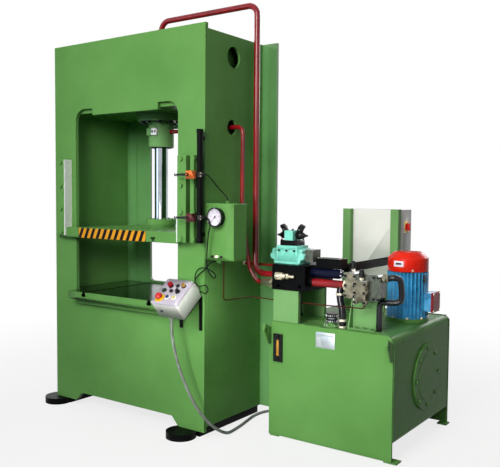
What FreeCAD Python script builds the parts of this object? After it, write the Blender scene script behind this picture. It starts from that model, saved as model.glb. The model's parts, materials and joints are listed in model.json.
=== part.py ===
import FreeCAD, Part
import os
from math import acos, cos, pi, radians, sin, tan
from FreeCAD import Vector

# A single-cylinder hydraulic press: a plate-built frame with a platen that the ram lifts between
# two guides, a push-button box on its front, and a power pack on an oil tank at its right.
# Lengths are millimetres.  X runs to the press's right, Y from its front to its back, Z up.
# Sizes are laid out from the floor and the front face of the frame; every piece is then moved so
# that the origin lies where the ram's axis meets the top of the bolster.

# ---- frame
column_face = 204
frame_depth = 591
front_plate = 25
side_plate = 16
rear_plate = 20
rear_flange = 109
box_top_drop = 30
front_foot_gap = 40
skid_height = 70
bed_height = 741
bed_plate = 40
opening_width = 894
opening_height = 1192
notch_width = 162
notch_height = 43
notch_radius = 80
foot_width = 198
foot_slope = 52
arch_rise = 56
rear_window_width = 640
rear_window_bottom = 806
rear_window_height = 1074
rear_window_radius = 30
column_width = 91
crown_plate = 40
crown_seat = 17
top_plate = 15
top_plate_gap = 5
crown_lip = 70
bed_rib = 20
bed_rib_spacing = 400
lift_hole = 125
lift_hole_depth = 268
lift_hole_drop = 157
port_hole = 90
port_depth = 254
port_drop = 6
pad_radius = 90
right_pad_inset = 141
left_pad_inset = 16
right_pad_y = -40
left_pad_y = 0
skid_inset = 81
skid_width = 60
skid_length = 615
skid_end_radius = 28

# ---- bolster
bolster_thickness = 50
bolster_tongue_gap = 13
bolster_overhang = 80
bolster_side_gap = 8
bolster_end_gap = 6
slot_spacing = 576
slot_neck = 20
slot_neck_depth = 16
slot_head = 36
slot_head_depth = 14
ledge_inset = 37
ledge_depth = 30
ledge_height = 35

# ---- slide, ram and cylinder
ram_depth = 342
slide_rise = 349
slide_thickness = 65
slide_side_gap = 12
slide_front_gap = 3
slide_rear_gap = 16
slide_bar_depth = 42
slide_running_gap = 0.5
shoe_width = 116
shoe_thickness = 5
hazard_left = -365
hazard_width = 595
hazard_thickness = 3
hazard_edge = 1
ram_radius = 44
ram_fit = 0.06
piston_radius = 60
piston_length = 60
piston_rise = 60
stroke_clearance = 53
bore_end_gap = 35
boss_radius = 95
boss_height = 17
clamp_ring_radius = 100
clamp_ring_height = 40
clamp_bolt_circle = 74
clamp_bolts = 6
gland_radius = 83
gland_length = 167
flange_radius = 153
flange_thickness = 32
disc_radius = 165
disc_thickness = 16
barrel_radius = 95
barrel_end = 15
barrel_seat_gap = 0.4
flange_bolt_circle = 122
flange_bolts = 10
port_boss_radius = 22
port_boss_x = 84
port_boss_rise = 99
port_cover = 46

# ---- guides
guide_step = 41
guide_width = 72
guide_thickness = 60
guide_lift = 10
guide_length = 500
wear_strip = 6
groove_width = 12
keeper_width = 28
keeper_thickness = 38
guide_flange_inset = 15
guide_flange_thickness = 12
guide_bolts = 4
guide_bolt_margin = 20
guide_bolt_size = 24
keeper_bolt_size = 13

# ---- travel switches on their rail
rail_inset = 3
rail_reach = 42
rail_radius = 17
rail_cap_radius = 20
rail_length = 645
rail_bracket = 11
upper_switch_rise = 388
lower_switch_rise = 146
clamp_height = 26
clamp_radius = 26
switch_width = 40
switch_depth = 40
switch_height = 46
switch_front = 108
lever_length = 82
lever_thickness = 4
roller_radius = 9
lever_hub_radius = 10
gland_nut_radius = 9

# ---- gauge box
gauge_box_width = 208
gauge_box_depth = 120
gauge_box_bottom = 1055
gauge_box_height = 323
top_gland_across = 133
top_gland_back = 40
low_gland_across = 77
low_gland_back = 48
gauge_tube_across = 72
gauge_tube_back = 88
gauge_across = 96
gauge_up = 245
gauge_radius = 55
gauge_case = 36
gauge_dial_radius = 48
gauge_dial_recess = 8
gauge_pin = 2.5
needle_length = 36
needle_thickness = 1.2

# ---- push-button box
box_side_gap = 3
box_front = -224
box_rise = 24
box_tilt = 38.8
box_width = 195
box_slope = 192
box_thickness = 117
lid_thickness = 12
box_corner = 10
tray_thickness = 3
arm_width = 22
arm_thickness = 5
left_arm = 41
right_arm = 189
arm_drop = 175
arm_rise = 23
bezel_radius = 15
bezel_height = 5
button_radius = 11
button_gap = 0.4
button_height = 10
button_travel = 3
selector_stem = 5
mushroom_radius = 20
mushroom_height = 22
mushroom_stem = 8
stop_plate_radius = 30
row_low = 45
row_mid = 98
row_high = 140
conduit_across = 71
conduit_back = 100
conduit_gland_drop = 101
conduit_gland_radius = 14
elbow_across = 147
elbow_width = 28
elbow_rise = 46
elbow_gap = 4

# ---- oil tank
tank_gap = 250
tank_width = 785
tank_front = 304
tank_end_plate = 12
tank_length = 853
tank_top = 683
tank_bottom = 100
tank_wall = 5
tank_edge_radius = 38
end_plate_clear = 8
lug_thickness = 14
lug_reach = 76
lug_hole = 24
cover_radius = 192
cover_thickness = 12
cover_from_back = 382
cover_z = 378
cover_hole = 150
cover_bolt_circle = 165
cover_bolts = 8
level_inset = 34
level_width = 60
level_height = 164
level_bottom = 451
filler_across = 369
filler_back = 91
filler_neck_radius = 30
filler_neck_height = 22
filler_neck_wall = 4
spigot_fit = 0.06
filler_cap_radius = 36
filler_cap_height = 50

# ---- valve stands and manifold
stand_inset = 18
stand_width = 171
stand_height = 191
stand_plate = 25
front_stand_back = 12
rear_stand_back = 318
manifold_inset = 10
manifold_width = 222
manifold_height = 148
manifold_back_from_plate = 8
manifold_length = 335
valve_back = 53
valve_depth = 130
valve_overhang = 53
valve_width = 232
valve_height = 108
pilot_across = 65
pilot_back = 118
pilot_base_width = 116
pilot_base_height = 30
pilot_body_width = 58
pilot_body_height = 58
solenoid_radius = 22.5
solenoid_length = 79
plug_height = 32

tray_width = 50
tray_height = 42
tray_bottom = 988
tray_back = 158
junction_gap = 32
junction_depth = 85
junction_height = 56

# ---- relief valves on their bracket
bracket_back = 106
bracket_plate = 15
bracket_across = 484
bracket_width = 205
bracket_rise = 130
relief_inset = 55
relief_width = 150
relief_rise = 172
relief_height = 145
relief_depth = 70
relief_a_overhang = 10
relief_a_width = 62
relief_a_depth = 65
relief_b_inset = 70
relief_b_width = 65
relief_b_depth = 40
knob_radius = 13
knob_height = 40
spindle_radius = 6
outlet_back = 60
outlet_rise = 53

# ---- pipes
lift_pipe_radius = 18
lift_pipe_bend = 65
lift_pipe_gap = 117
lift_pipe_arch = 153
lift_pipe_rise = 83
return_pipe_radius = 13
return_pipe_bend = 45
return_end_back = 18
return_end_rise = 34
return_fitting = 81
return_pipe_gap = 89
return_pipe_y = 240
return_pipe_knee = 1290
thin_pipe_radius = 7
thin_pipe_back = 72
thin_pipe_drop = 16
outlet_radius = 23
gauge_tube_radius = 4
gauge_tube_bend = 18
gauge_tube_drop = 52

drain_radius = 9
supply_radius = 10
supply_inset = 9
supply_back = 24
supply_rise = 30
loop_radius = 16
loop_reach = 320
loop_back = 45

# ---- motor and pump
motor_inset = 153
motor_from_back = 309
motor_ring_radius = 125
motor_ring_height = 22
motor_radius = 121
motor_core_radius = 106
motor_height = 273
motor_fins = 32
fan_cover_radius = 123
fan_cover_height = 117
fan_cover_wall = 3
fan_slot_inset = 34
fan_slot_length = 58
fan_slot_width = 10
fan_clearance = 24
fan_radius = 98
fan_disc = 4
fan_blades = 8
blade_height = 48
shaft_clearance = 2
terminal_pad_reach = 2
terminal_rise = 47
terminal_drop = 116
terminal_width = 106
terminal_depth = 44
terminal_lid = 12
lid_overhang = 3
fan_slots = 12
shaft_radius = 19
shaft_fit = 0.06
pump_flange_radius = 92
pump_radius = 60
strainer_radius = 40
strainer_height = 80
suction_radius = 20
suction_length = 170
pump_depth = 480
pump_flange_height = 60
pump_hole_gap = 2

# ---- switch cabinet
cabinet_inset = 24
cabinet_width = 400
cabinet_depth = 160
cabinet_rise = 52
cabinet_height = 600
cabinet_wall = 3
cabinet_door = 20
post_width = 55
post_wall = 6
post_depth = 46
post_bottom = 300
hinge_reach = 8
hinge_radius = 7
hinge_pin = 3.5
isolator_back = 89
isolator_up = 486
isolator_radius = 25
gland_across = 125
gland_back = 82

# ---- relations that follow from the sizes above
# across the press
opening_half = opening_width / 2
half_width = opening_half + column_face
side_inner = half_width - side_plate
column_inner = side_inner - column_width + side_plate
tongue_half = opening_half - bolster_tongue_gap
guide_inner = opening_half + guide_step
guide_flange_reach = half_width - guide_flange_inset
rail_x = half_width - rail_inset
skid_x = half_width - skid_inset
gauge_x = half_width + gauge_across
box_left = tongue_half + box_side_gap
conduit_x = box_left + conduit_across
lift_pipe_x = half_width + lift_pipe_gap
rear_inner = frame_depth - rear_plate

# up the press: the crown is as high as the cylinder in it needs
opening_top = bed_height + opening_height
bolster_top = bed_height + bolster_thickness
slide_height = bolster_top + slide_rise
slide_top = slide_height + slide_thickness
boss_top = slide_top + boss_height
ring_top = boss_top + clamp_ring_height
crown_plate_height = opening_top + crown_seat
gland_height = crown_plate_height - disc_thickness - flange_thickness - gland_length
port_boss_height = gland_height + port_boss_rise
port_height = port_boss_height - port_drop
stroke = gland_height - ring_top - stroke_clearance
piston_height = gland_height + piston_rise
piston_top = piston_height + piston_length
bore_top = piston_top + stroke + bore_end_gap
barrel_top = bore_top + barrel_end
top_plate_height = barrel_top + top_plate_gap
frame_height = top_plate_height + crown_lip
box_top = frame_height - box_top_drop
lift_hole_height = frame_height - lift_hole_drop
lift_pipe_top = frame_height + lift_pipe_arch
guide_height = slide_height + guide_lift
rail_bottom = guide_height
upper_switch = rail_bottom + upper_switch_rise
lower_switch = rail_bottom + lower_switch_rise
gauge_z = gauge_box_bottom + gauge_up
box_front_height = bolster_top + box_rise
conduit_y = box_front + conduit_back
conduit_gland_bottom = box_front_height - conduit_gland_drop

# the power pack
tank_left = half_width + tank_gap
tank_right = tank_left + tank_width
tank_back = tank_front + tank_length
cover_y = tank_back - cover_from_back
level_x = tank_left + level_inset
filler_x = tank_left + filler_across
filler_y = tank_front + filler_back
stand_left = tank_left + stand_inset
stand_top = tank_top + stand_height
front_stand = tank_front + front_stand_back
rear_stand = tank_front + rear_stand_back
manifold_left = tank_left + manifold_inset
manifold_right = manifold_left + manifold_width
manifold_front = tank_front + manifold_back_from_plate
manifold_back = manifold_front + manifold_length
manifold_top = stand_top + manifold_height
valve_left = manifold_left - valve_overhang
valve_y = manifold_front + valve_back
pilot_x = manifold_left + pilot_across
pilot_y = manifold_front + pilot_back
bracket_left = tank_left + bracket_across
bracket_right = bracket_left + bracket_width
bracket_y = tank_front + bracket_back
relief_left = bracket_left + relief_inset
relief_bottom = tank_top + relief_rise
relief_top = relief_bottom + relief_height
bracket_top = relief_bottom + bracket_rise
relief_y = bracket_y - relief_depth
relief_a_left = bracket_left - relief_a_overhang
relief_a_y = bracket_y - relief_a_depth
relief_b_left = bracket_left + relief_b_inset
outlet_y = manifold_front + outlet_back
outlet_z = stand_top + outlet_rise
lift_pipe_end = stand_top + lift_pipe_rise
return_end_y = manifold_front + return_end_back
return_end_z = stand_top + return_end_rise
thin_pipe_y = manifold_front + thin_pipe_back
thin_pipe_z = manifold_top - thin_pipe_drop
motor_x = tank_right - motor_inset
motor_y = tank_back - motor_from_back
cabinet_left = tank_left + cabinet_inset
cabinet_right = cabinet_left + cabinet_width
cabinet_front = tank_back + post_depth
cabinet_back = cabinet_front + cabinet_depth
cabinet_bottom = tank_top + cabinet_rise
isolator_y = cabinet_front + isolator_back
isolator_z = cabinet_bottom + isolator_up
origin = Vector(0, ram_depth, bolster_top)


# ---- small helpers
def box(x0, x1, y0, y1, z0, z1):
    return Part.makeBox(x1 - x0, y1 - y0, z1 - z0, Vector(x0, y0, z0))


def rod(radius, start, direction, length):
    return Part.makeCylinder(radius, length, Vector(*start), Vector(*direction))


# A flat outline whose corners may carry a radius as a third value, pulled along one axis.
def slab(axis, start, end, corners):
    def lift(a, b):
        if axis == "x":
            return Vector(start, a, b)
        if axis == "y":
            return Vector(a, start, b)
        return Vector(a, b, start)

    edges = []
    first = None
    last = None
    count = len(corners)
    for index, corner in enumerate(corners):
        here = lift(corner[0], corner[1])
        before = lift(*corners[index - 1][:2])
        after = lift(*corners[(index + 1) % count][:2])
        if len(corner) == 3:
            toward = (before - here).normalize()
            away = (after - here).normalize()
            half = toward.getAngle(away) / 2
            middle = (toward + away).normalize()
            reach = corner[2] / tan(half)
            begin = here + toward * reach
            finish = here + away * reach
            bulge = here + middle * (corner[2] / sin(half) - corner[2])
        else:
            begin = here
            finish = here
            bulge = None
        if last is not None and last.distanceToPoint(begin) > 1e-6:
            edges.append(Part.LineSegment(last, begin).toShape())
        if bulge is not None:
            edges.append(Part.Arc(begin, bulge, finish).toShape())
        if first is None:
            first = begin
        last = finish
    if last.distanceToPoint(first) > 1e-6:
        edges.append(Part.LineSegment(last, first).toShape())
    face = Part.Face(Part.Wire(edges))
    run = Vector(*[(end - start) if axis == name else 0 for name in "xyz"])
    return face.extrude(run)


def rectangle(a0, a1, b0, b1, radius=0):
    corners = [(a0, b0), (a1, b0), (a1, b1), (a0, b1)]
    if radius:
        corners = [(a, b, radius) for a, b in corners]
    return corners


def fuse(first, *others):
    return first.multiFuse(list(others)).removeSplitter()


# The profile is a closed list of radius and height pairs, turned about an upright axis.
def turned(x, y, profile):
    points = [Vector(x + radius, y, height) for radius, height in profile]
    face = Part.Face(Part.makePolygon(points + points[:1]))
    return face.revolve(Vector(x, y, 0), Vector(0, 0, 1), 360)


def hexagon(centre, direction, across, height):
    axis = Vector(*direction).normalize()
    side = axis.cross(Vector(0, 0, 1))
    if side.Length < 0.5:
        side = Vector(1, 0, 0)
    side.normalize()
    up = axis.cross(side)
    radius = across / 2 / cos(pi / 6)
    corners = []
    for step in range(6):
        angle = step * pi / 3
        corners.append(Vector(*centre) + side * (radius * cos(angle)) + up * (radius * sin(angle)))
    face = Part.Face(Part.makePolygon(corners + corners[:1]))
    return face.extrude(axis * height)


def mirrored(shape):
    return shape.mirror(Vector(0, 0, 0), Vector(1, 0, 0))


def both_sides(shapes):
    return shapes + [mirrored(shape) for shape in shapes]


# Straight runs joined by tangent arcs.  With no bend given, each arc is as large as 0.45 of the
# shorter of its two runs allows.
def centre_line(points, bend=None):
    points = [Vector(*point) for point in points]
    edges = []
    radii = []
    start = points[0]
    for index in range(1, len(points) - 1):
        here = points[index]
        back = points[index - 1] - here
        ahead = points[index + 1] - here
        shorter = min(back.Length, ahead.Length)
        back.normalize()
        ahead.normalize()
        half_turn = (pi - back.getAngle(ahead)) / 2
        radius = bend or 0.45 * shorter / tan(half_turn)
        reach = radius * tan(half_turn)
        middle = (back + ahead).normalize()
        begin = here + back * reach
        finish = here + ahead * reach
        bulge = here + middle * (radius / cos(half_turn) - radius)
        edges.append(Part.LineSegment(start, begin).toShape())
        edges.append(Part.Arc(begin, bulge, finish).toShape())
        radii.append(radius)
        start = finish
    edges.append(Part.LineSegment(start, points[-1]).toShape())
    return Part.Wire(edges), radii


# A round pipe, or one with flat sides where a count of sides is given.
def tube(points, radius, bend=None, sides=0):
    path, radii = centre_line(points, bend)
    start = Vector(*points[0])
    direction = (Vector(*points[1]) - start).normalize()
    if sides:
        across = direction.cross(Vector(0, 0, 1))
        if across.Length < 0.1:
            across = direction.cross(Vector(0, 1, 0))
        across.normalize()
        up = direction.cross(across)
        corners = []
        for step in range(sides):
            angle = 2 * pi * (step + 0.5) / sides
            corners.append(start + across * (radius * cos(angle)) + up * (radius * sin(angle)))
        profile = Part.makePolygon(corners + corners[:1])
        section = 0.5 * sides * radius ** 2 * sin(2 * pi / sides)
    else:
        profile = Part.Wire(Part.makeCircle(radius, start, direction))
        section = pi * radius ** 2
    solid = path.makePipeShell([profile], True, False)
    return solid, path.Length, section, radii


def cord(name, points, radius):
    solid, length, section, radii = tube(points, radius, None, 8 if radius > 6 else 6)
    ratio = solid.Volume / (section * length)
    print(name, "length", round(length), "volume over section times length", round(ratio, 4))
    print("  arc radii", [round(value) for value in radii])
    save(name, solid)


def save(name, *shapes):
    moved = []
    for shape in shapes:
        shape = shape.copy()
        shape.translate(origin * -1)
        moved.append(shape)
    result = moved[0] if len(moved) == 1 else Part.makeCompound(moved)
    result.exportStep("parts/" + name + ".step")


os.makedirs("parts", exist_ok=True)

# ======== frame plates
foot_outer = half_width - foot_width
foot_inner = foot_outer - foot_slope
arch_top = front_foot_gap + arch_rise

front = slab("y", 0, front_plate, [
    (-half_width, front_foot_gap), (-foot_outer, front_foot_gap), (-foot_inner, arch_top),
    (foot_inner, arch_top), (foot_outer, front_foot_gap), (half_width, front_foot_gap),
    (half_width, frame_height), (-half_width, frame_height)])
notch_inner = opening_half - notch_width
notch_top = opening_top + notch_height
front_opening = slab("y", -1, front_plate + 1, [
    (-opening_half, bed_height), (opening_half, bed_height), (opening_half, notch_top, notch_radius),
    (notch_inner, notch_top), (notch_inner, opening_top), (-notch_inner, opening_top),
    (-notch_inner, notch_top), (-opening_half, notch_top, notch_radius)])
save("front_frame_plate", front.cut(front_opening))

rear_half = half_width + rear_flange
rear = slab("y", rear_inner, frame_depth, [
    (-rear_half, skid_height), (-foot_inner, skid_height), (-foot_inner, arch_top),
    (foot_inner, arch_top), (foot_inner, skid_height), (rear_half, skid_height),
    (rear_half, box_top), (-rear_half, box_top)])
rear_window = slab("y", rear_inner - 1, frame_depth + 1, rectangle(
    -rear_window_width / 2, rear_window_width / 2,
    rear_window_bottom, rear_window_bottom + rear_window_height, rear_window_radius))
save("rear_frame_plate", rear.cut(rear_window))

side = box(side_inner, half_width, front_plate, rear_inner, skid_height, box_top)
side = side.cut(rod(lift_hole / 2, (side_inner - 1, lift_hole_depth, lift_hole_height), (1, 0, 0),
                    side_plate + 2))
port = rod(port_hole / 2, (column_inner - side_plate - 1, port_depth, port_height), (1, 0, 0),
           half_width)
save("side_plates", side.cut(port), mirrored(side))

column = box(column_inner - side_plate, column_inner, front_plate, rear_inner, skid_height,
             top_plate_height)
inner_half = column_inner - side_plate
crown_bottom = box(-inner_half, inner_half, front_plate, rear_inner, crown_plate_height,
                   crown_plate_height + crown_plate)
crown_bottom = crown_bottom.cut(rod(barrel_radius + barrel_seat_gap,
                                    (0, ram_depth, crown_plate_height - 1), (0, 0, 1), crown_plate + 2))
crown_top = box(-side_inner, side_inner, front_plate, rear_inner, top_plate_height,
                top_plate_height + top_plate)
crown_top = crown_top.cut(rod(lift_pipe_radius + 22, (0, ram_depth, top_plate_height - 1), (0, 0, 1),
                              top_plate + 2))
bed = box(-inner_half, inner_half, front_plate, rear_inner, bed_height - bed_plate, bed_height)
rib_x = bed_rib_spacing / 2
rib = box(rib_x - bed_rib / 2, rib_x + bed_rib / 2, front_plate, rear_inner, arch_top,
          bed_height - bed_plate)
save("inner_frame_plates", column.cut(port), mirrored(column), crown_bottom, crown_top, bed,
     *both_sides([rib]))

# The feet: a skid under each column, welded to a round pad under the front plate.
skid = slab("z", 0, skid_height, [
    (skid_x - skid_width / 2, front_plate), (skid_x + skid_width / 2, front_plate),
    (skid_x + skid_width / 2, front_plate + skid_length, skid_end_radius),
    (skid_x - skid_width / 2, front_plate + skid_length, skid_end_radius)])
right_pad = rod(pad_radius, (half_width - right_pad_inset, right_pad_y, 0), (0, 0, 1), front_foot_gap)
left_pad = rod(pad_radius, (left_pad_inset - half_width, left_pad_y, 0), (0, 0, 1), front_foot_gap)
save("base_feet", fuse(skid, right_pad), fuse(mirrored(skid), left_pad))

# ======== bolster with its T-slots
inside_half = inner_half - bolster_side_gap
bolster = slab("z", bed_height, bolster_top, [
    (-tongue_half, -bolster_overhang), (tongue_half, -bolster_overhang), (tongue_half, front_plate),
    (inside_half, front_plate), (inside_half, rear_inner - bolster_end_gap),
    (-inside_half, rear_inner - bolster_end_gap), (-inside_half, front_plate),
    (-tongue_half, front_plate)])


def t_slots(surface, inward, y0, y1):
    slots = []
    for side_sign in (-1, 1):
        middle = side_sign * slot_spacing / 2
        neck_end = surface + inward * slot_neck_depth
        head_end = neck_end + inward * slot_head_depth
        slots.append(slab("y", y0, y1, [
            (middle - slot_neck / 2, surface - inward), (middle + slot_neck / 2, surface - inward),
            (middle + slot_neck / 2, neck_end), (middle + slot_head / 2, neck_end),
            (middle + slot_head / 2, head_end), (middle - slot_head / 2, head_end),
            (middle - slot_head / 2, neck_end), (middle - slot_neck / 2, neck_end)]))
    return slots


for slot in t_slots(bolster_top, -1, -bolster_overhang - 1, frame_depth):
    bolster = bolster.cut(slot)
ledge_half = opening_half - ledge_inset
ledge = box(-ledge_half, ledge_half, -ledge_depth, 0, bed_height - ledge_height, bed_height)
save("bolster", bolster, ledge)

# ======== slide: a platen with a cross bar that runs between the guides
bar_half = guide_inner - slide_running_gap
body_half = opening_half - slide_side_gap
slide_body = box(-body_half, body_half, -slide_front_gap,
                 rear_inner - slide_rear_gap, slide_height, slide_top)
slide_bar = box(-bar_half, bar_half, -slide_front_gap - slide_bar_depth, -slide_front_gap,
                slide_height, slide_top)
slide_face = -slide_front_gap - slide_bar_depth
shoe = box(-bar_half + 3, -bar_half + 3 + shoe_width, slide_face - shoe_thickness, slide_face,
           slide_height + 6, slide_top - 3)
slide = fuse(slide_body, slide_bar, shoe)
for slot in t_slots(slide_height, 1, slide_face - 9, rear_inner):
    slide = slide.cut(slot)
save("slide", slide)
save("hazard_plate", box(hazard_left, hazard_left + hazard_width, slide_face - hazard_thickness,
                         slide_face, slide_height + hazard_edge, slide_top - hazard_edge))

boss = turned(0, ram_depth, [
    (ram_radius + ram_fit, slide_top), (boss_radius, slide_top), (boss_radius, boss_top),
    (clamp_ring_radius, boss_top), (clamp_ring_radius, ring_top), (ram_radius + ram_fit, ring_top)])
clamp_heads = []
for step in range(clamp_bolts):
    angle = (step + 0.5) * 2 * pi / clamp_bolts
    clamp_heads.append(hexagon((clamp_bolt_circle * cos(angle), ram_depth + clamp_bolt_circle * sin(angle),
                                ring_top), (0, 0, 1), 17, 7))
save("slide_boss", boss, *clamp_heads)

save("ram", turned(0, ram_depth, [
    (0, slide_top), (ram_radius, slide_top), (ram_radius, piston_height),
    (piston_radius, piston_height), (piston_radius, piston_top), (0, piston_top)]))

# ======== cylinder: gland, flange, mounting disc and barrel turned as one, with its real bore
gland_top = gland_height + gland_length
flange_top = gland_top + flange_thickness
bore_bottom = piston_height - 5
cylinder = turned(0, ram_depth, [
    (ram_radius + ram_fit, gland_height), (gland_radius, gland_height), (gland_radius, gland_top),
    (flange_radius, gland_top), (flange_radius, flange_top), (disc_radius, flange_top),
    (disc_radius, crown_plate_height), (barrel_radius, crown_plate_height), (barrel_radius, barrel_top),
    (0, barrel_top), (0, bore_top), (piston_radius + ram_fit, bore_top),
    (piston_radius + ram_fit, bore_bottom), (ram_radius + ram_fit, bore_bottom)])
port_boss = rod(port_boss_radius, (0, ram_depth, port_boss_height), (1, 0, 0), port_boss_x)
inner_space = rod(piston_radius + ram_fit, (0, ram_depth, bore_bottom), (0, 0, 1), bore_top - bore_bottom)
cover_block = box(-port_cover / 2 - 28, port_cover / 2 - 28, ram_depth - gland_radius - 4, ram_depth,
                  port_boss_height - port_cover / 2, port_boss_height + port_cover / 2)
cylinder = fuse(cylinder, port_boss.cut(inner_space), cover_block.cut(inner_space))
flange_heads = []
for step in range(flange_bolts):
    angle = (step + 0.5) * 2 * pi / flange_bolts
    flange_heads.append(hexagon((flange_bolt_circle * cos(angle),
                                 ram_depth + flange_bolt_circle * sin(angle), gland_top),
                                (0, 0, -1), 30, 13))
save("cylinder", cylinder)

# ======== guides
guide_top = guide_height + guide_length
guide_outer = guide_inner + guide_width
keeper_inner = guide_outer + groove_width
keeper_outer = keeper_inner + keeper_width
guide_profile = slab("z", guide_height, guide_top, [
    (guide_inner + wear_strip, 0), (guide_inner + wear_strip, -guide_thickness),
    (guide_outer, -guide_thickness), (guide_outer, -guide_flange_thickness),
    (keeper_inner, -guide_flange_thickness), (keeper_inner, -keeper_thickness),
    (keeper_outer, -keeper_thickness), (keeper_outer, -guide_flange_thickness),
    (guide_flange_reach, -guide_flange_thickness), (guide_flange_reach, 0)])
strip = box(guide_inner, guide_inner + wear_strip, -guide_thickness, 0, guide_height, guide_top)
save("guide_rails", *both_sides([guide_profile, strip]))

guide_heads = []
bolt_pitch = (guide_length - 2 * guide_bolt_margin) / (guide_bolts - 1)
for step in range(guide_bolts):
    height = guide_height + guide_bolt_margin + step * bolt_pitch
    guide_heads.append(hexagon((guide_inner + guide_width / 2, -guide_thickness, height), (0, -1, 0),
                               guide_bolt_size, 10))
    guide_heads.append(hexagon((keeper_outer, -keeper_thickness + 12, height), (1, 0, 0),
                               keeper_bolt_size, 6))
save("fasteners", *(both_sides(guide_heads) + flange_heads))

# ======== travel switches
rail_top = rail_bottom + rail_length
rail = rod(rail_radius, (rail_x, -rail_reach, rail_bottom), (0, 0, 1), rail_length)
rail_parts = []
for end in (rail_bottom, rail_top - 22):
    rail_parts.append(rod(rail_cap_radius, (rail_x, -rail_reach, end), (0, 0, 1), 22))
for end in (rail_bottom + 40, rail_top - 60):
    rail_parts.append(box(rail_x - rail_bracket, rail_x + 3, -rail_reach, 0, end, end + 20))
save("switch_rail", fuse(rail, *rail_parts))

switch_right = rail_x - 8
switch_left = switch_right - switch_width
switch_parts = []
for height in (upper_switch, lower_switch):
    clamp = rod(clamp_radius, (rail_x, -rail_reach, height - clamp_height / 2), (0, 0, 1), clamp_height)
    nut = rod(gland_nut_radius, (rail_x, -rail_reach, height), (1, 0, 0), clamp_radius + 10)
    saddle = box(switch_left + 8, switch_right, -switch_front + switch_depth, -rail_reach,
                 height - clamp_height / 2, height + clamp_height / 2)
    clamp = fuse(clamp, nut, saddle)
    clamp = clamp.cut(rod(rail_radius + 0.05, (rail_x, -rail_reach, height - 99), (0, 0, 1), 198))
    body = box(switch_left, switch_right, -switch_front, -switch_front + switch_depth,
               height - switch_height / 2, height + switch_height / 2)
    pin = rod(4, (switch_left + 12, -switch_front - 14, height), (0, 1, 0), 14)
    switch_parts.append(clamp)
    switch_parts.append(fuse(body, pin))
save("limit_switches", *switch_parts)

for name, height in (("upper_switch_lever", upper_switch), ("lower_switch_lever", lower_switch)):
    pivot = switch_left + 12
    tip = pivot - lever_length
    front_face = -switch_front - 1
    hub = rod(lever_hub_radius, (pivot, front_face - 8, height), (0, 1, 0), 8)
    arm = slab("y", front_face - 8, front_face - 8 + lever_thickness, [
        (pivot, height - 8), (pivot, height + 8), (tip, height + 5), (tip, height - 5)])
    roller = rod(roller_radius, (tip, front_face - 8, height), (0, 1, 0), 14)
    lever = fuse(hub, arm, roller)
    lever = lever.cut(rod(4.06, (pivot, front_face - 20, height), (0, 1, 0), 40))
    save(name, lever)

# ======== gauge box and gauge
gauge_box_right = half_width + gauge_box_width
gauge_box_top = gauge_box_bottom + gauge_box_height
housing = slab("y", 0, gauge_box_depth, [
    (half_width, gauge_box_bottom), (gauge_box_right, gauge_box_bottom, 6),
    (gauge_box_right, gauge_box_top, 6), (half_width, gauge_box_top)])
housing_parts = []
for offset, radius in ((59, 7), (90, 9), (125, 7)):
    housing_parts.append(rod(radius, (half_width + offset, -12, gauge_box_bottom + 21), (0, 1, 0), 12))
housing_parts.append(rod(8, (half_width + top_gland_across, top_gland_back, gauge_box_top), (0, 0, 1), 14))
elbow_x = half_width + low_gland_across
elbow = box(elbow_x - 12, elbow_x + 12, low_gland_back - 12, low_gland_back + 12, gauge_box_bottom - 20,
            gauge_box_bottom)
elbow_nose = rod(6, (elbow_x - 4, low_gland_back - 2, gauge_box_bottom - 10), (-0.62, -0.78, 0), 22)
housing_parts.append(elbow)
housing_parts.append(elbow_nose)
save("gauge_box", fuse(housing, *housing_parts))


def turned_forward(x, z, profile):
    points = [Vector(x + radius, depth, z) for radius, depth in profile]
    face = Part.Face(Part.makePolygon(points + points[:1]))
    return face.revolve(Vector(x, 0, z), Vector(0, 1, 0), 360)


dial_face = -gauge_case + gauge_dial_recess
case = turned_forward(gauge_x, gauge_z, [
    (0, 0), (gauge_radius - 4, 0), (gauge_radius - 4, -gauge_case + 14), (gauge_radius, -gauge_case + 12),
    (gauge_radius, -gauge_case), (gauge_dial_radius, -gauge_case), (gauge_dial_radius, dial_face),
    (gauge_pin, dial_face), (gauge_pin, dial_face - 4), (0, dial_face - 4)])
save("pressure_gauge", case)
needle_plane = dial_face - 3
needle = slab("y", needle_plane, needle_plane + needle_thickness, [
    (gauge_x + 6, gauge_z + 9), (gauge_x + 9, gauge_z + 6),
    (gauge_x - needle_length * 0.7, gauge_z - needle_length * 0.72)])
needle = fuse(needle, rod(6, (gauge_x, needle_plane, gauge_z), (0, 1, 0), needle_thickness))
save("gauge_needle", needle.cut(rod(gauge_pin + 0.05, (gauge_x, -99, gauge_z), (0, 1, 0), 99)))

# ======== push-button box, laid out flat on its lid and then tilted
tilt = FreeCAD.Placement(Vector(box_left, box_front, box_front_height),
                         FreeCAD.Rotation(Vector(1, 0, 0), box_tilt))


def tilted(shape):
    copy = shape.copy()
    copy.Placement = tilt.multiply(copy.Placement)
    return copy


lid = slab("z", -lid_thickness, 0, rectangle(0, box_width, 0, box_slope, box_corner))
shell = slab("z", -box_thickness, -lid_thickness, rectangle(0, box_width, 0, box_slope, box_corner))

button_places = {
    "blue_button": (97, row_low + 6), "cream_button": (143, row_low + 6), "green_button": (40, row_mid)}
selector_places = {"black_selector": (141, row_mid), "gold_selector": (157, row_high + 3)}
lamp_places = [(93, row_mid), (114, row_high)]
stop_place = (47, row_low - 6)
return_place = (68, row_high - 6)

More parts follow.
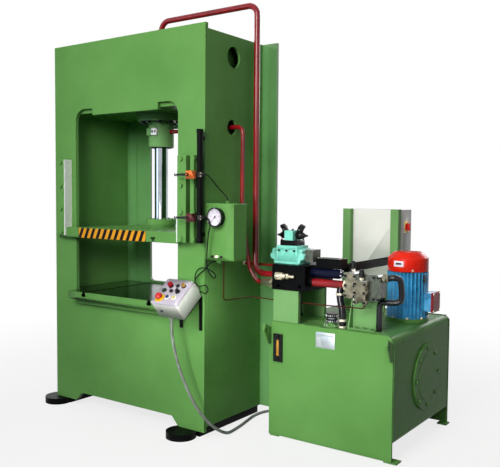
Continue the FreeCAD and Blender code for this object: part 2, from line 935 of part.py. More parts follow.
trim = []
hole_radius = button_radius + button_gap
for x, y in button_places.values():
    ring = rod(bezel_radius, (x, y, 0), (0, 0, 1), bezel_height)
    trim.append(ring.cut(rod(hole_radius, (x, y, -1), (0, 0, 1), bezel_height + 2)))
    lid = lid.cut(rod(hole_radius, (x, y, -button_travel - 2), (0, 0, 1), 99))
for x, y in selector_places.values():
    ring = rod(bezel_radius, (x, y, 0), (0, 0, 1), bezel_height)
    trim.append(ring.cut(rod(selector_stem + 0.06, (x, y, 0), (0, 0, 1), bezel_height)))
for x, y in lamp_places:
    trim.append(rod(bezel_radius - 3, (x, y, 0), (0, 0, 1), bezel_height + 3))
stem_hole = mushroom_stem + 0.06
stop_plate = rod(stop_plate_radius, (*stop_place, 0), (0, 0, 1), 3)
return_plate = rod(bezel_radius, (*return_place, 0), (0, 0, 1), 3)
for place in (stop_place, return_place):
    bore = rod(stem_hole, (*place, -9), (0, 0, 1), 99)
    lid = lid.cut(bore)
    stop_plate = stop_plate.cut(bore)
    return_plate = return_plate.cut(bore)
gland = rod(conduit_gland_radius, (conduit_x, conduit_y, conduit_gland_bottom), (0, 0, 1), 60)
slope_back = cos(radians(box_tilt))
elbow_right = box_left + elbow_across + elbow_width
elbow_low = box_front_height + elbow_rise
elbow_block = slab("x", elbow_right - elbow_width, elbow_right, [
    (box_front + slope_back * box_slope + 20, box_front_height + sin(radians(box_tilt)) * box_slope - 26),
    (-elbow_gap, elbow_low + 39), (-elbow_gap, elbow_low), (-elbow_gap - 13, elbow_low)])
nose_low = rod(6, (elbow_right, -elbow_gap - 6, elbow_low + 7), (1, 0, 0), 10)
nose_high = rod(6, (elbow_right - elbow_width / 2, -elbow_gap - 17, elbow_low + 19), (0, 0, 1), 32)
shell_solid = fuse(tilted(shell), gland, elbow_block, nose_low, nose_high)
save("pendant_box", shell_solid.cut(tilted(lid)), tilted(lid), tilted(stop_plate), tilted(return_plate),
     *[tilted(item) for item in trim])

tray = slab("z", -box_thickness - tray_thickness, -box_thickness,
            rectangle(-1.5, box_width + 1.5, 6, box_slope))
tray = tilted(tray)
tray_parts = []
for x in (box_left + left_arm, box_left + right_arm):
    tray_parts.append(box(x - arm_width / 2, x + arm_width / 2, -arm_thickness, 0,
                          box_front_height - arm_drop, box_front_height + arm_rise))
tray_all = fuse(tray, *tray_parts)
tray_all = tray_all.cut(rod(conduit_gland_radius + 1, (conduit_x, conduit_y, 0), (0, 0, 1), bolster_top * 2))
behind_plate = box(0, half_width * 2, 0, front_plate * 2, 0, frame_height)
save("pendant_bracket", tray_all.cut(behind_plate).cut(tilted(shell)))

for name, (x, y) in button_places.items():
    save(name, tilted(rod(button_radius, (x, y, -1.5), (0, 0, 1), button_height + 1.5)))
for name, (x, y) in selector_places.items():
    stem = rod(selector_stem, (x, y, 1), (0, 0, 1), bezel_height)
    knob = rod(button_radius, (x, y, bezel_height), (0, 0, 1), 8)
    grip = slab("z", bezel_height + 8, bezel_height + 18,
                rectangle(x - 4, x + 4, y - button_radius + 1, y + button_radius - 1))
    save(name, tilted(fuse(knob, grip, stem)))
for name, place, radius in (("stop_button", stop_place, mushroom_radius),
                            ("return_button", return_place, mushroom_radius - 4)):
    x, y = place
    points = [(0, -5), (mushroom_stem, -5), (mushroom_stem, 11), (radius - 4, 11), (radius, 14),
              (radius, mushroom_height + 2), (radius - 5, mushroom_height + 8), (0, mushroom_height + 10)]
    save(name, tilted(turned(x, y, points)))

# ======== oil tank: a folded top sheet on a folded trough, closed by two thick end plates
tank_inner_front = tank_front + tank_end_plate
tank_inner_back = tank_back - tank_end_plate
edge = tank_edge_radius
wrap = slab("y", tank_inner_front, tank_inner_back, [
    (tank_left, tank_bottom, 20), (tank_right, tank_bottom, 20), (tank_right, tank_top, edge),
    (tank_left, tank_top, edge)])
hollow = slab("y", tank_front, tank_back, [
    (tank_left + tank_wall, tank_bottom + tank_wall, 20 - tank_wall),
    (tank_right - tank_wall, tank_bottom + tank_wall, 20 - tank_wall),
    (tank_right - tank_wall, tank_top - tank_wall, edge - tank_wall),
    (tank_left + tank_wall, tank_top - tank_wall, edge - tank_wall)])
sheets = wrap.cut(hollow)
seam = tank_top - edge
top_zone = box(tank_left - 1, tank_right + 1, tank_front, tank_back, seam, tank_top + 1)
neck_bore = rod(filler_neck_radius - filler_neck_wall, (filler_x, filler_y, tank_top - edge), (0, 0, 1),
                edge + filler_neck_height + 1)
pump_hole = rod(pump_flange_radius + pump_hole_gap, (motor_x, motor_y, tank_top - edge), (0, 0, 1),
                edge * 2)
top_sheet = sheets.common(top_zone).cut(pump_hole).cut(neck_bore)
trough = sheets.cut(top_zone)
trough = trough.cut(rod(cover_hole, (tank_right - edge, cover_y, cover_z), (1, 0, 0), edge * 2))
neck = rod(filler_neck_radius, (filler_x, filler_y, tank_top), (0, 0, 1), filler_neck_height)
save("tank_body", trough, top_sheet, neck.cut(neck_bore))

end_outline = [(tank_left, end_plate_clear), (tank_right, end_plate_clear), (tank_right, tank_top, edge),
               (tank_left, tank_top, edge)]
front_end = slab("y", tank_front, tank_inner_front, end_outline)
rear_end = slab("y", tank_inner_back, tank_back, end_outline)
lug_outline = [(tank_front, tank_top - edge), (tank_front - lug_reach + 12, tank_top - 4, 6),
               (tank_front - lug_reach, tank_top - 43, 6), (tank_front - 29, tank_top - 131),
               (tank_front, tank_top - 131)]
lugs = []
for x in (tank_left, tank_right - lug_thickness):
    lug = slab("x", x, x + lug_thickness, lug_outline)
    lugs.append(lug.cut(rod(lug_hole / 2, (x - 1, tank_front - 49, tank_top - 47), (1, 0, 0), 30)))
feet = []
for x, reach in ((tank_left + 8, 60), (tank_right - 46, 76)):
    feet.append(box(x, x + reach, tank_front, tank_front + 66, 0, end_plate_clear))
    feet.append(box(x, x + 60, tank_back - 60, tank_back, 0, end_plate_clear))
save("tank_end_plates", fuse(front_end, *lugs), rear_end, *feet)

cover = rod(cover_radius, (tank_right, cover_y, cover_z), (1, 0, 0), cover_thickness)
cover = fuse(cover, rod(cover_radius - 56, (tank_right + cover_thickness, cover_y, cover_z), (1, 0, 0), 3))
cover_heads = []
for step in range(cover_bolts):
    angle = step * 2 * pi / cover_bolts
    cover_heads.append(hexagon((tank_right + cover_thickness, cover_y + cover_bolt_circle * sin(angle),
                                cover_z + cover_bolt_circle * cos(angle)), (1, 0, 0), 19, 8))
save("cleanout_cover", cover, *cover_heads)

level_top = level_bottom + level_height
level = box(level_x, level_x + level_width, tank_front - 12, tank_front, level_bottom, level_top)
level = level.cut(box(level_x + 20, level_x + level_width - 20, tank_front - 13, tank_front - 6,
                      level_bottom + 34, level_top - 34))
level_heads = []
for height in (level_bottom + 16, level_top - 16):
    level_heads.append(hexagon((level_x + level_width / 2, tank_front - 12, height), (0, -1, 0), 19, 8))
save("level_gauge", level, *level_heads)

cap_bottom = tank_top + filler_neck_height
cap_spigot = filler_neck_radius - filler_neck_wall - spigot_fit
cap = turned(filler_x, filler_y, [
    (0, cap_bottom - 12), (cap_spigot, cap_bottom - 12),
    (cap_spigot, cap_bottom), (filler_cap_radius, cap_bottom),
    (filler_cap_radius, cap_bottom + 16), (filler_cap_radius - 5, cap_bottom + 20),
    (filler_cap_radius - 5, cap_bottom + 28), (filler_cap_radius, cap_bottom + 32),
    (filler_cap_radius, cap_bottom + filler_cap_height - 3),
    (filler_cap_radius - 4, cap_bottom + filler_cap_height), (0, cap_bottom + filler_cap_height)])
save("filler_cap", cap)

# ======== what stands on the tank: valve stands, the relief bracket and the cabinet posts
stand_right = stand_left + stand_width
uprights = []
for y in (front_stand, rear_stand):
    uprights.append(box(stand_left, stand_right, y, y + stand_plate, tank_top, stand_top))
bracket = slab("y", bracket_y, bracket_y + bracket_plate, [
    (bracket_left, tank_top), (bracket_right - 40, tank_top), (bracket_right, relief_bottom),
    (bracket_right, bracket_top, 20), (bracket_left + 15, bracket_top, 12),
    (bracket_left + 15, relief_bottom + 5)])
gusset = slab("x", bracket_left, bracket_left + 8, [
    (bracket_y, tank_top), (bracket_y - 50, tank_top), (bracket_y, relief_bottom)])
foot = box(bracket_left, bracket_right - 40, bracket_y - 50, bracket_y + bracket_plate, tank_top,
           tank_top + 8)
uprights.append(fuse(bracket, gusset, foot))
for step in range(3):
    uprights.append(hexagon((bracket_left + 35 + step * 48, bracket_y - 28, tank_top + 8), (0, 0, 1),
                            17, 8))
for x in (cabinet_left + 2, cabinet_right - post_width + 5):
    post = box(x, x + post_width, tank_back, tank_back + post_depth, post_bottom,
               cabinet_bottom + cabinet_height + 4)
    channel = box(x + post_wall, x + post_width - post_wall, tank_back + post_wall,
                  cabinet_front + 1, post_bottom - 1, frame_height)
    uprights.append(post.cut(channel))
save("tank_uprights", *uprights)

manifold = box(manifold_left, manifold_right, manifold_front, manifold_back, stand_top, manifold_top)
ports = []
for across, up in ((189, 26), (44, 22)):
    ports.append(rod(11, (manifold_left + across, manifold_front - 1, stand_top + up), (0, 1, 0), 25))
save("manifold", manifold.cut(ports[0]).cut(ports[1]))

# ======== main valve: a cast body with lobed end covers
valve_right = valve_left + valve_width
valve_top = manifold_top + valve_height
core_left = valve_left + 47
core_right = valve_right - 45
low = manifold_top
core = slab("y", valve_y, valve_y + valve_depth, [
    (core_left, low), (core_right, low), (core_right, valve_top, 6), (core_left, valve_top, 6)])
lobed = slab("y", valve_y + 6, valve_y + valve_depth - 6, [
    (core_left, low + 12), (core_left - 22, low + 12, 14), (core_left - 22, low + 26, 8),
    (valve_left, low + 26, 12), (valve_left, low + 56, 12), (core_left - 34, low + 62, 10),
    (core_left - 34, low + 90, 14), (core_left, low + 90)])
lobed_right = slab("y", valve_y + 6, valve_y + valve_depth - 6, [
    (core_right, low + 12), (core_right, low + 90), (core_right + 32, low + 90, 14),
    (core_right + 32, low + 62, 10), (valve_right, low + 56, 12), (valve_right, low + 26, 12),
    (core_right + 22, low + 26, 8), (core_right + 22, low + 12, 14)])
lower_plate = slab("z", low, low + 14, rectangle(core_left - 20, core_right + 20, valve_y - 4,
                                                 valve_y + valve_depth + 4, 12))
valve_body = fuse(core, lobed, lobed_right, lower_plate)
for x in (core_left + 16, core_left + 70, core_right - 16):
    socket = rod(7, (x, valve_y - 1, low + 78), (0, 1, 0), 10)
    valve_body = valve_body.cut(socket)
end_box = box(valve_right, valve_right + 50, valve_y + 25, valve_y + 115, low + 18, low + 88)
save("main_valve", valve_body, end_box)

# ======== pilot valve with its two solenoids and plugs
pilot_low = valve_top
pilot_mid = pilot_low + pilot_base_height
pilot_top = pilot_mid + pilot_body_height
base = slab("z", pilot_low, pilot_mid, rectangle(pilot_x - pilot_base_width / 2,
                                                 pilot_x + pilot_base_width / 2, pilot_y - 50,
                                                 pilot_y + 50, 8))
block = box(pilot_x - pilot_body_width / 2, pilot_x + pilot_body_width / 2, pilot_y - 45, pilot_y + 45,
            pilot_mid, pilot_top)
coil_z = pilot_mid + pilot_body_height / 2
coils = []
for sign in (-1, 1):
    face_x = pilot_x + sign * pilot_body_width / 2
    coil = Part.makeCone(solenoid_radius, solenoid_radius - 6, solenoid_length,
                         Vector(face_x, pilot_y, coil_z), Vector(sign, 0, 0))
    near = face_x + sign * 12
    far = face_x + sign * 44
    plug = box(min(near, far), max(near, far), pilot_y - 14, pilot_y + 14, coil_z,
               coil_z + solenoid_radius + plug_height)
    coils.append(fuse(coil, plug))
save("pilot_valve", base, block, *coils)

# ======== line filter and outlet, relief valves
filter_y = valve_y + 25
filter_z = stand_top + 108
save("line_filter", rod(27, (manifold_right, filter_y, filter_z), (1, 0, 0), 180),
     rod(23, (manifold_right + 180, filter_y, filter_z), (1, 0, 0), 17))

relief = slab("y", relief_y, bracket_y, [
    (relief_left, relief_bottom, 12), (relief_left + relief_width, relief_bottom, 30),
    (relief_left + relief_width, relief_top, 30), (relief_left, relief_top, 12)])
save("relief_block", relief)

fittings = []
nut = hexagon((manifold_left, return_end_y, return_end_z), (-1, 0, 0), 50, 24)
collar = rod(return_pipe_radius + 8, (manifold_left - return_fitting, return_end_y, return_end_z),
             (1, 0, 0), return_fitting - 24)
collar = collar.cut(rod(return_pipe_radius + 0.05, (manifold_left - return_fitting - 1, return_end_y,
                                                    return_end_z), (1, 0, 0), 41))
fittings.append(fuse(collar, nut))
check_y = manifold_front - 24
check_z = stand_top + 84
stem = rod(10, (manifold_left + 75, check_y, check_z), (0, 1, 0), 24)
check = fuse(hexagon((manifold_left + 44, check_y, check_z), (1, 0, 0), 40, 44),
             rod(14, (manifold_left + 88, check_y, check_z), (1, 0, 0), 26),
             hexagon((manifold_left + 114, check_y, check_z), (1, 0, 0), 30, 14),
             rod(8, (manifold_left + 128, check_y, check_z), (1, 0, 0), 36), stem)
fittings.append(check)
valve_a = box(relief_a_left, relief_a_left + relief_a_width, relief_a_y, bracket_y, relief_bottom + 5,
              relief_top)
neck_a = rod(11, (relief_a_left + 33, relief_a_y + 32, relief_top), (0, 0, 1), 24)
spindle_a = rod(spindle_radius, (relief_a_left + 33, relief_a_y + 32, relief_top + 24), (0, 0, 1), 30)
fittings.append(fuse(valve_a, neck_a, spindle_a))
valve_b = box(relief_b_left, relief_b_left + relief_b_width, relief_y - relief_b_depth, relief_y,
              relief_bottom - 5, relief_top - 35)
b_x = relief_b_left + relief_b_width / 2
b_y = relief_y - relief_b_depth / 2
neck_b = rod(10, (b_x, b_y, relief_top - 35), (0, 0, 1), 22)
spindle_b = rod(spindle_radius, (b_x, b_y, relief_top - 13), (0, 0, 1), 26)
stub_b = rod(7, (b_x + 18, b_y + 4, relief_bottom - 17), (0, 0, 1), 12)
fittings.append(fuse(valve_b, neck_b, spindle_b, stub_b))
save("pipe_fittings", *fittings)

knob_places = {
    "relief_knob_a": (relief_a_left + 33, relief_a_y + 32, relief_top + 24.4),
    "relief_knob_b": (b_x, b_y, relief_top - 12.6)}
for name, (x, y, z) in knob_places.items():
    knob = turned(x, y, [
        (spindle_radius + 0.05, z), (knob_radius, z), (knob_radius, z + knob_height - 5),
        (knob_radius - 4, z + knob_height), (0, z + knob_height), (0, z + 32),
        (spindle_radius + 0.05, z + 32)])
    save(name, knob)

# ======== rigid pipes
lift_pipe = tube([(0, ram_depth, barrel_top), (0, ram_depth, lift_pipe_top),
                  (lift_pipe_x, ram_depth, lift_pipe_top), (lift_pipe_x, ram_depth, lift_pipe_end),
                  (manifold_left, ram_depth, lift_pipe_end)], lift_pipe_radius, lift_pipe_bend)[0]
fitting_start = manifold_left - return_fitting
side_x = half_width + return_pipe_gap
return_pipe = tube([(port_boss_x, ram_depth, port_boss_height),
                    (port_boss_x + 50, ram_depth, port_boss_height),
                    (side_x, return_pipe_y + 3, port_height), (side_x, return_pipe_y, return_pipe_knee),
                    (side_x + 5, return_end_y - 12, return_end_z + 77),
                    (fitting_start - 40, return_end_y, return_end_z),
                    (fitting_start + 40, return_end_y, return_end_z)], return_pipe_radius,
                   return_pipe_bend)[0]
outlet = rod(outlet_radius, (manifold_right, outlet_y, outlet_z), (1, 0, 0),
             relief_a_left - manifold_right)
thin = rod(thin_pipe_radius, (half_width, thin_pipe_y, thin_pipe_z), (1, 0, 0),
           manifold_left - half_width)
save("red_pipes", lift_pipe, return_pipe, outlet, thin)

tube_x = half_width + gauge_tube_across
gauge_run = relief_bottom - gauge_tube_drop
save("gauge_tube", tube([
    (tube_x, gauge_tube_back, gauge_box_bottom), (tube_x, gauge_tube_back, gauge_run + 12),
    (tube_x + 22, tank_front + 46, gauge_run + 5), (tank_left - 41, tank_front + 73, gauge_run - 4),
    (stand_right - 27, tank_front + 81, gauge_run - 5), (filler_x + 3, tank_front + 51, gauge_run + 1),
    (b_x + 18, b_y + 4, gauge_run + 11), (b_x + 18, b_y + 4, relief_bottom - 17)],
    gauge_tube_radius, gauge_tube_bend, 8)[0])

drain = rod(drain_radius, (manifold_left + 34, manifold_front + 273, tank_top), (0, 0, 1), stand_height)
supply_x = relief_a_left - supply_inset
supply_y = relief_a_y + supply_back
supply_top = relief_bottom + supply_rise
supply = tube([(relief_a_left, supply_y - 4, supply_top), (supply_x - 31, supply_y - 4, supply_top),
               (supply_x - 21, supply_y - 1, supply_top - 95), (supply_x, supply_y, tank_top + 52),
               (supply_x, supply_y, tank_top)], supply_radius, 22, 8)[0]
loop_right = bracket_left + loop_reach
relief_right = relief_left + relief_width
loop_y = bracket_y + loop_back
loop = tube([(relief_right, relief_y + 35, relief_top - 22),
             (loop_right - 40, relief_y + 35, relief_top - 15),
             (loop_right, relief_y + 60, relief_top - 40), (loop_right, relief_y + 90, relief_bottom + 25),
             (loop_right - 40, loop_y - 5, relief_bottom - 3), (relief_right - 30, loop_y, relief_bottom - 9),
             (relief_right - 30, loop_y, tank_top)], loop_radius, 26, 10)[0]
save("black_pipes", drain, supply, loop)

# ======== cable tray and junction box
tray_right = cabinet_right + 8
tray_left = tray_right - tray_width
tray_front = manifold_front + tray_back
tray_top = tray_bottom + tray_height
channel = box(tray_left, tray_right, tray_front, tank_back, tray_bottom, tray_top)
channel = channel.cut(box(tray_left + 3, tray_right - 3, tray_front + 10, tank_back - 2, tray_bottom + 3,
                          tray_top + 1))
junction_left = manifold_right + junction_gap
junction = box(junction_left, tray_right - 10, tray_front - junction_depth, tray_front, manifold_top - 12,
               manifold_top - 12 + junction_height)
strap = box(manifold_right, junction_left, tray_front - 70, tray_front - 15, manifold_top - 10,
            manifold_top - 2)
save("cable_tray", fuse(channel, junction, strap))

# ======== motor with its fins, fan and cowl
flange_top = tank_top + motor_ring_height
motor_top = flange_top + motor_height
cowl_top = motor_top + fan_cover_height
corners = []
for step in range(motor_fins):
    for share, radius in ((-0.3, motor_core_radius), (-0.12, motor_radius), (0.12, motor_radius),
                          (0.3, motor_core_radius)):
        angle = 2 * pi * (step + share) / motor_fins
        corners.append((motor_x + radius * cos(angle), motor_y + radius * sin(angle)))
body = slab("z", flange_top, motor_top, corners)
ring = rod(motor_ring_radius, (motor_x, motor_y, tank_top), (0, 0, 1), motor_ring_height)
term_left = motor_x + motor_radius + terminal_pad_reach
term_low = flange_top + terminal_rise
term_high = motor_top - terminal_drop
term_front = motor_y - terminal_width / 2
term_back = motor_y + terminal_width / 2 + 4
term_pad = box(motor_x + motor_radius * 0.65, term_left, term_front + 8, term_back - 12, term_low + 8,
          term_high - 8)
shaft_bore = rod(shaft_radius + shaft_fit, (motor_x, motor_y, tank_top - 1), (0, 0, 1), 999)
save("motor_body", fuse(ring, body, term_pad).cut(shaft_bore))

cowl = turned(motor_x, motor_y, [
    (fan_cover_radius - fan_cover_wall, motor_top), (fan_cover_radius, motor_top),
    (fan_cover_radius, cowl_top - 18), (fan_cover_radius - 18, cowl_top), (0, cowl_top),
    (0, cowl_top - fan_cover_wall), (fan_cover_radius - 19, cowl_top - fan_cover_wall),
    (fan_cover_radius - fan_cover_wall, cowl_top - 19)])
slots = []
for step in range(fan_slots):
    slot = box(motor_x + fan_slot_inset, motor_x + fan_slot_inset + fan_slot_length,
               motor_y - fan_slot_width / 2, motor_y + fan_slot_width / 2, cowl_top - 9, cowl_top + 1)
    slot.rotate(Vector(motor_x, motor_y, 0), Vector(0, 0, 1), 360 * step / fan_slots)
    slots.append(slot)
save("fan_cover", cowl.cut(Part.makeCompound(slots)))

fan_low = motor_top + fan_clearance
shaft = rod(shaft_radius, (motor_x, motor_y, tank_top + shaft_clearance), (0, 0, 1),
            fan_low + blade_height * 0.75 - tank_top)
fan = rod(fan_radius - 2, (motor_x, motor_y, fan_low), (0, 0, 1), fan_disc)
blades = []
for step in range(fan_blades):
    blade = box(motor_x + 12, motor_x + fan_radius, motor_y - 2, motor_y + 2, fan_low + fan_disc / 2,
                fan_low + blade_height)
    blade.rotate(Vector(motor_x, motor_y, 0), Vector(0, 0, 1), 360 / fan_blades * step)
    blades.append(blade)
save("motor_rotor", fuse(shaft, fan, *blades))

term_split = term_left + terminal_depth
terminal = slab("x", term_left, term_split, rectangle(term_front, term_back, term_low, term_high, 8))
term_lid = slab("x", term_split, term_split + terminal_lid, rectangle(
    term_front - lid_overhang, term_back + lid_overhang, term_low - lid_overhang,
    term_high + lid_overhang, 8))
save("terminal_box", terminal, term_lid)

strainer_top = tank_top - pump_depth + strainer_height
pump_low = strainer_top + suction_length
flange_low = tank_top - pump_flange_height
save("pump", turned(motor_x, motor_y, [
    (0, tank_top - pump_depth), (strainer_radius, tank_top - pump_depth), (strainer_radius, strainer_top),
    (suction_radius, strainer_top), (suction_radius, pump_low), (pump_radius, pump_low),
    (pump_radius, flange_low), (pump_flange_radius, flange_low), (pump_flange_radius, tank_top),
    (0, tank_top)]))

# ======== switch cabinet with a hinged rear door
cabinet_top = cabinet_bottom + cabinet_height
cabinet = box(cabinet_left, cabinet_right, cabinet_front, cabinet_back, cabinet_bottom, cabinet_top)
wall = cabinet_wall
cabinet = cabinet.cut(box(cabinet_left + wall, cabinet_right - wall, cabinet_front + wall,
                          cabinet_back + 1, cabinet_bottom + wall, cabinet_top - wall))
hinge_x = cabinet_left - hinge_reach
hinge_y = cabinet_back + 0.3
hinge_parts = []
hinge_heights = (cabinet_bottom + 60, cabinet_top - 120)
for height in hinge_heights:
    pin = rod(hinge_pin, (hinge_x, hinge_y, height), (0, 0, 1), 60)
    knuckle = rod(hinge_radius, (hinge_x, hinge_y, height), (0, 0, 1), 20)
    leaf = box(hinge_x, cabinet_left, hinge_y - 5, hinge_y - 1, height, height + 20)
    hinge_parts.extend([pin, knuckle, leaf])
gland = rod(14, (cabinet_left + gland_across, cabinet_front + gland_back, cabinet_bottom - 23), (0, 0, 1), 23)
base = box(cabinet_right, cabinet_right + 6, isolator_y - 33, isolator_y + 33, isolator_z - 40,
           isolator_z + 40)
save("cabinet_box", fuse(cabinet, gland, base, *hinge_parts))

door = slab("y", cabinet_back + 0.3, cabinet_back + 0.3 + cabinet_door,
            rectangle(cabinet_left, cabinet_right, cabinet_bottom, cabinet_top))
door = door.cut(box(cabinet_left + 2, cabinet_right - 2, cabinet_back, cabinet_back + cabinet_door - 2,
                    cabinet_bottom + 2, cabinet_top - 2))
lock_x = cabinet_right - 25
lock_z = cabinet_bottom + cabinet_height / 2
lock_pad = rod(16, (lock_x, cabinet_back + cabinet_door - 9, lock_z), (0, 1, 0), 8)
door_parts = [lock_pad]
for height in hinge_heights:
    door_parts.append(rod(hinge_radius, (hinge_x, hinge_y, height + 20.3), (0, 0, 1), 38))
    door_parts.append(box(hinge_x, cabinet_left + 2, hinge_y + 1, hinge_y + 5, height + 20.3,
                          height + 58.3))
door = fuse(door, *door_parts)
for height in hinge_heights:
    door = door.cut(rod(hinge_pin + 0.06, (hinge_x, hinge_y, height - 20), (0, 0, 1), 120))
door = door.cut(rod(6.06, (lock_x, cabinet_back - 20, lock_z), (0, 1, 0), 99))
save("cabinet_door", door)

lock_face = cabinet_back + 0.3 + cabinet_door
lock = fuse(rod(12, (lock_x, lock_face + 0.3, lock_z), (0, 1, 0), 7),
            rod(6, (lock_x, cabinet_back - 14, lock_z), (0, 1, 0), cabinet_door + 16),
            box(lock_x - 7, lock_x + 20, cabinet_back - 14, cabinet_back - 11, lock_z - 7, lock_z + 7))
save("door_lock", lock)

handle = fuse(rod(isolator_radius, (cabinet_right + 6.3, isolator_y, isolator_z), (1, 0, 0), 8),
              box(cabinet_right + 14.3, cabinet_right + 32, isolator_y - 7, isolator_y + 7,
                  isolator_z - isolator_radius + 1, isolator_z + isolator_radius - 1))
save("isolator_handle", handle)

# ======== free cables
cord("upper_switch_cable", [
    (684.2, -42, 1538), (704, -42, 1538), (720, -33, 1521), (731, -16, 1494), (745, 2, 1466),
    (761, 22, 1440), (776, 35, 1420), (784, 40, 1406), (784, 40, 1392.2)], 3.5)
cord("lower_switch_cable", [
    (684.2, -42, 1296), (706, -42, 1296), (721, -42, 1279), (724, -41, 1250), (710, -40, 1203),
    (702, -37, 1149), (692, -31, 1085), (687, -25, 1030), (694, -21, 992), (715, -20, 968),
    (731, -18, 955), (744, -16, 958), (745, -15, 971), (732, -16, 984), (706, -20, 1000),
    (676, -25, 1009), (644, -29, 1008), (619, -32, 990), (608, -33, 961), (606, -32, 933),
    (613, -29, 910), (628, -26, 898), (647, -22, 902), (665, -18, 911), (683, -15, 903),
    (690, -14, 885), (681, -13, 866), (661, -11, 857), (640, -10, 868), (622.2, -10, 868)], 3.5)
cord("pendant_cable", [
    (710.2, 28.6, 1045), (697.1, 12.1, 1045), (683, -4, 1025), (667, -12, 1000), (644, -17, 982),
    (619, -20, 962), (598, -21, 938), (598, -21, 912.2)], 3.5)
cord("conduit", [
    (508, -124, 713.8), (508, -124, 660), (519, -127, 598), (536, -125, 532), (556, -122, 461),
    (586, -117, 384), (622, -108, 306), (658, -88, 226), (690, -50, 152), (716, 0, 92),
    (730, 66, 45), (724, 138, 16), (706, 224, 10), (690, 320, 10), (664, 428, 10), (642, 530, 10),
    (650, 628, 10), (700, 706, 10), (762, 776, 10), (806, 866, 10), (826, 966, 10), (838, 1068, 10),
    (872, 1160, 10), (942, 1226, 10), (1010, 1268, 20), (1046, 1286, 74), (1052, 1288, 160),
    (1046, 1286, 300), (1052, 1284, 440), (1050, 1285, 580), (1050, 1285, 712)], 9.5)
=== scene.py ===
import bmesh
import bpy
import json
from math import cos, pi, radians, sin
from mathutils import Matrix, Vector

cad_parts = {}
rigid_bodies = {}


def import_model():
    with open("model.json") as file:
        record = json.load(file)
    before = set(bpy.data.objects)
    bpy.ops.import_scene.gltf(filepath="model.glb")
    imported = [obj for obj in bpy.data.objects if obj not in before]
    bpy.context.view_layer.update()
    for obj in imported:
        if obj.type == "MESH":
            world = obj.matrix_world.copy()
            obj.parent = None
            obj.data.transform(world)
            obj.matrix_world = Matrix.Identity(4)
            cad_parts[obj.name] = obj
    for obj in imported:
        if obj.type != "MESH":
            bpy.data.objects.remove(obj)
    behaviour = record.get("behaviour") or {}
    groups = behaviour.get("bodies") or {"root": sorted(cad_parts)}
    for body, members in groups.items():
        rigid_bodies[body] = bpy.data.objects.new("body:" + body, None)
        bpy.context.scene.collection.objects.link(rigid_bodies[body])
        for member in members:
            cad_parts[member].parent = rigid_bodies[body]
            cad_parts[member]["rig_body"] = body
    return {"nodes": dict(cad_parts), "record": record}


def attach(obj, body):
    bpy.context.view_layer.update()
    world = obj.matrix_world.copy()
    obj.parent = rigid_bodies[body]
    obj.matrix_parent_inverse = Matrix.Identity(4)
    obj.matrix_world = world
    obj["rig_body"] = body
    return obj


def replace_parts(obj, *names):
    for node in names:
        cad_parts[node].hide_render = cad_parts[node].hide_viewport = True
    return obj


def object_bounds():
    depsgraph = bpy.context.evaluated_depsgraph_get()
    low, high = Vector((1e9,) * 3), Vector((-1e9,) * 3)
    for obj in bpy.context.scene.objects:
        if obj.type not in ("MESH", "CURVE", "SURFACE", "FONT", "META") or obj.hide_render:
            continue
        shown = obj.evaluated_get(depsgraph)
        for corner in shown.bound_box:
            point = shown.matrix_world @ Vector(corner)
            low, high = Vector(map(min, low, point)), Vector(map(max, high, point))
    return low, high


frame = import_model()
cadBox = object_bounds()
nodes = frame["nodes"]
print("frame loaded,", len(nodes), "nodes")

# A hydraulic press with its power pack. Sizes are millimetres, and places are counted as on the
# shop floor: x from the press's middle, y back from its front face, z up.
layout = {"ramDepth": 342, "bolsterTop": 791}
floorToFrame = Matrix.Scale(0.001, 4) @ Matrix.Translation((0, -layout["ramDepth"], -layout["bolsterTop"]))
up, front, right = (0, 0, 1), (0, -1, 0), (1, 0, 0)


def linked(name, data):
    # an object for some data, put into the scene
    piece = bpy.data.objects.new(name, data)
    bpy.context.scene.collection.objects.link(piece)
    return piece


# The camera stands where the photograph was taken from; its place is in metres, its turns in degrees.
camera = {"place": (3.1781, -3.4436, 0.6367), "yaw": 35.45, "pitch": 3.18, "roll": 0.43, "lens": 50.25}
cameraData = bpy.data.cameras.new("camera")
cameraData.lens = camera["lens"]
cameraObject = linked("camera", cameraData)
aim = Matrix.Rotation(radians(camera["yaw"]), 4, "Z")
aim = aim @ Matrix.Rotation(radians(90 - camera["pitch"]), 4, "X")
aim = aim @ Matrix.Rotation(radians(camera["roll"]), 4, "Z")
cameraObject.matrix_world = Matrix.Translation(Vector(camera["place"])) @ aim
bpy.context.scene.camera = cameraObject
print("camera set")


def linearColour(code):
    # sRGB hex, such as "6b9a5a", to the linear values that Blender wants
    channels = [int(code[i:i + 2], 16) / 255 for i in (0, 2, 4)]
    return [c / 12.92 if c <= 0.04045 else ((c + 0.055) / 1.055) ** 2.4 for c in channels] + [1]


def addNode(tree, kind, links=None, **settings):
    # links gives an input, by name or number, a socket, a node, a hex colour or a plain value;
    # a node stands for the first of its outputs that is in use
    node = tree.nodes.new(kind)
    for name, value in settings.items():
        setattr(node, name, value)
    for name, value in (links or {}).items():
        entry = node.inputs[name]
        if isinstance(value, bpy.types.Node):
            value = next(output for output in value.outputs if output.enabled)
        if isinstance(value, bpy.types.NodeSocket):
            tree.links.new(value, entry)
        else:
            entry.default_value = linearColour(value) if entry.type == "RGBA" else value
    return node


def emptyTree(owner):
    # a material's or a world's nodes, cleared
    owner.use_nodes = True
    owner.node_tree.nodes.clear()
    return owner.node_tree


def startMaterial(name):
    # coords is the place on the piece in millimetres, so that a pattern has its real size
    material = bpy.data.materials.new(name)
    tree = emptyTree(material)
    spot = addNode(tree, "ShaderNodeTexCoord")
    coords = addNode(tree, "ShaderNodeVectorMath", {0: spot.outputs["Object"], "Scale": 1000.0},
                     operation="SCALE")
    return material, tree, coords


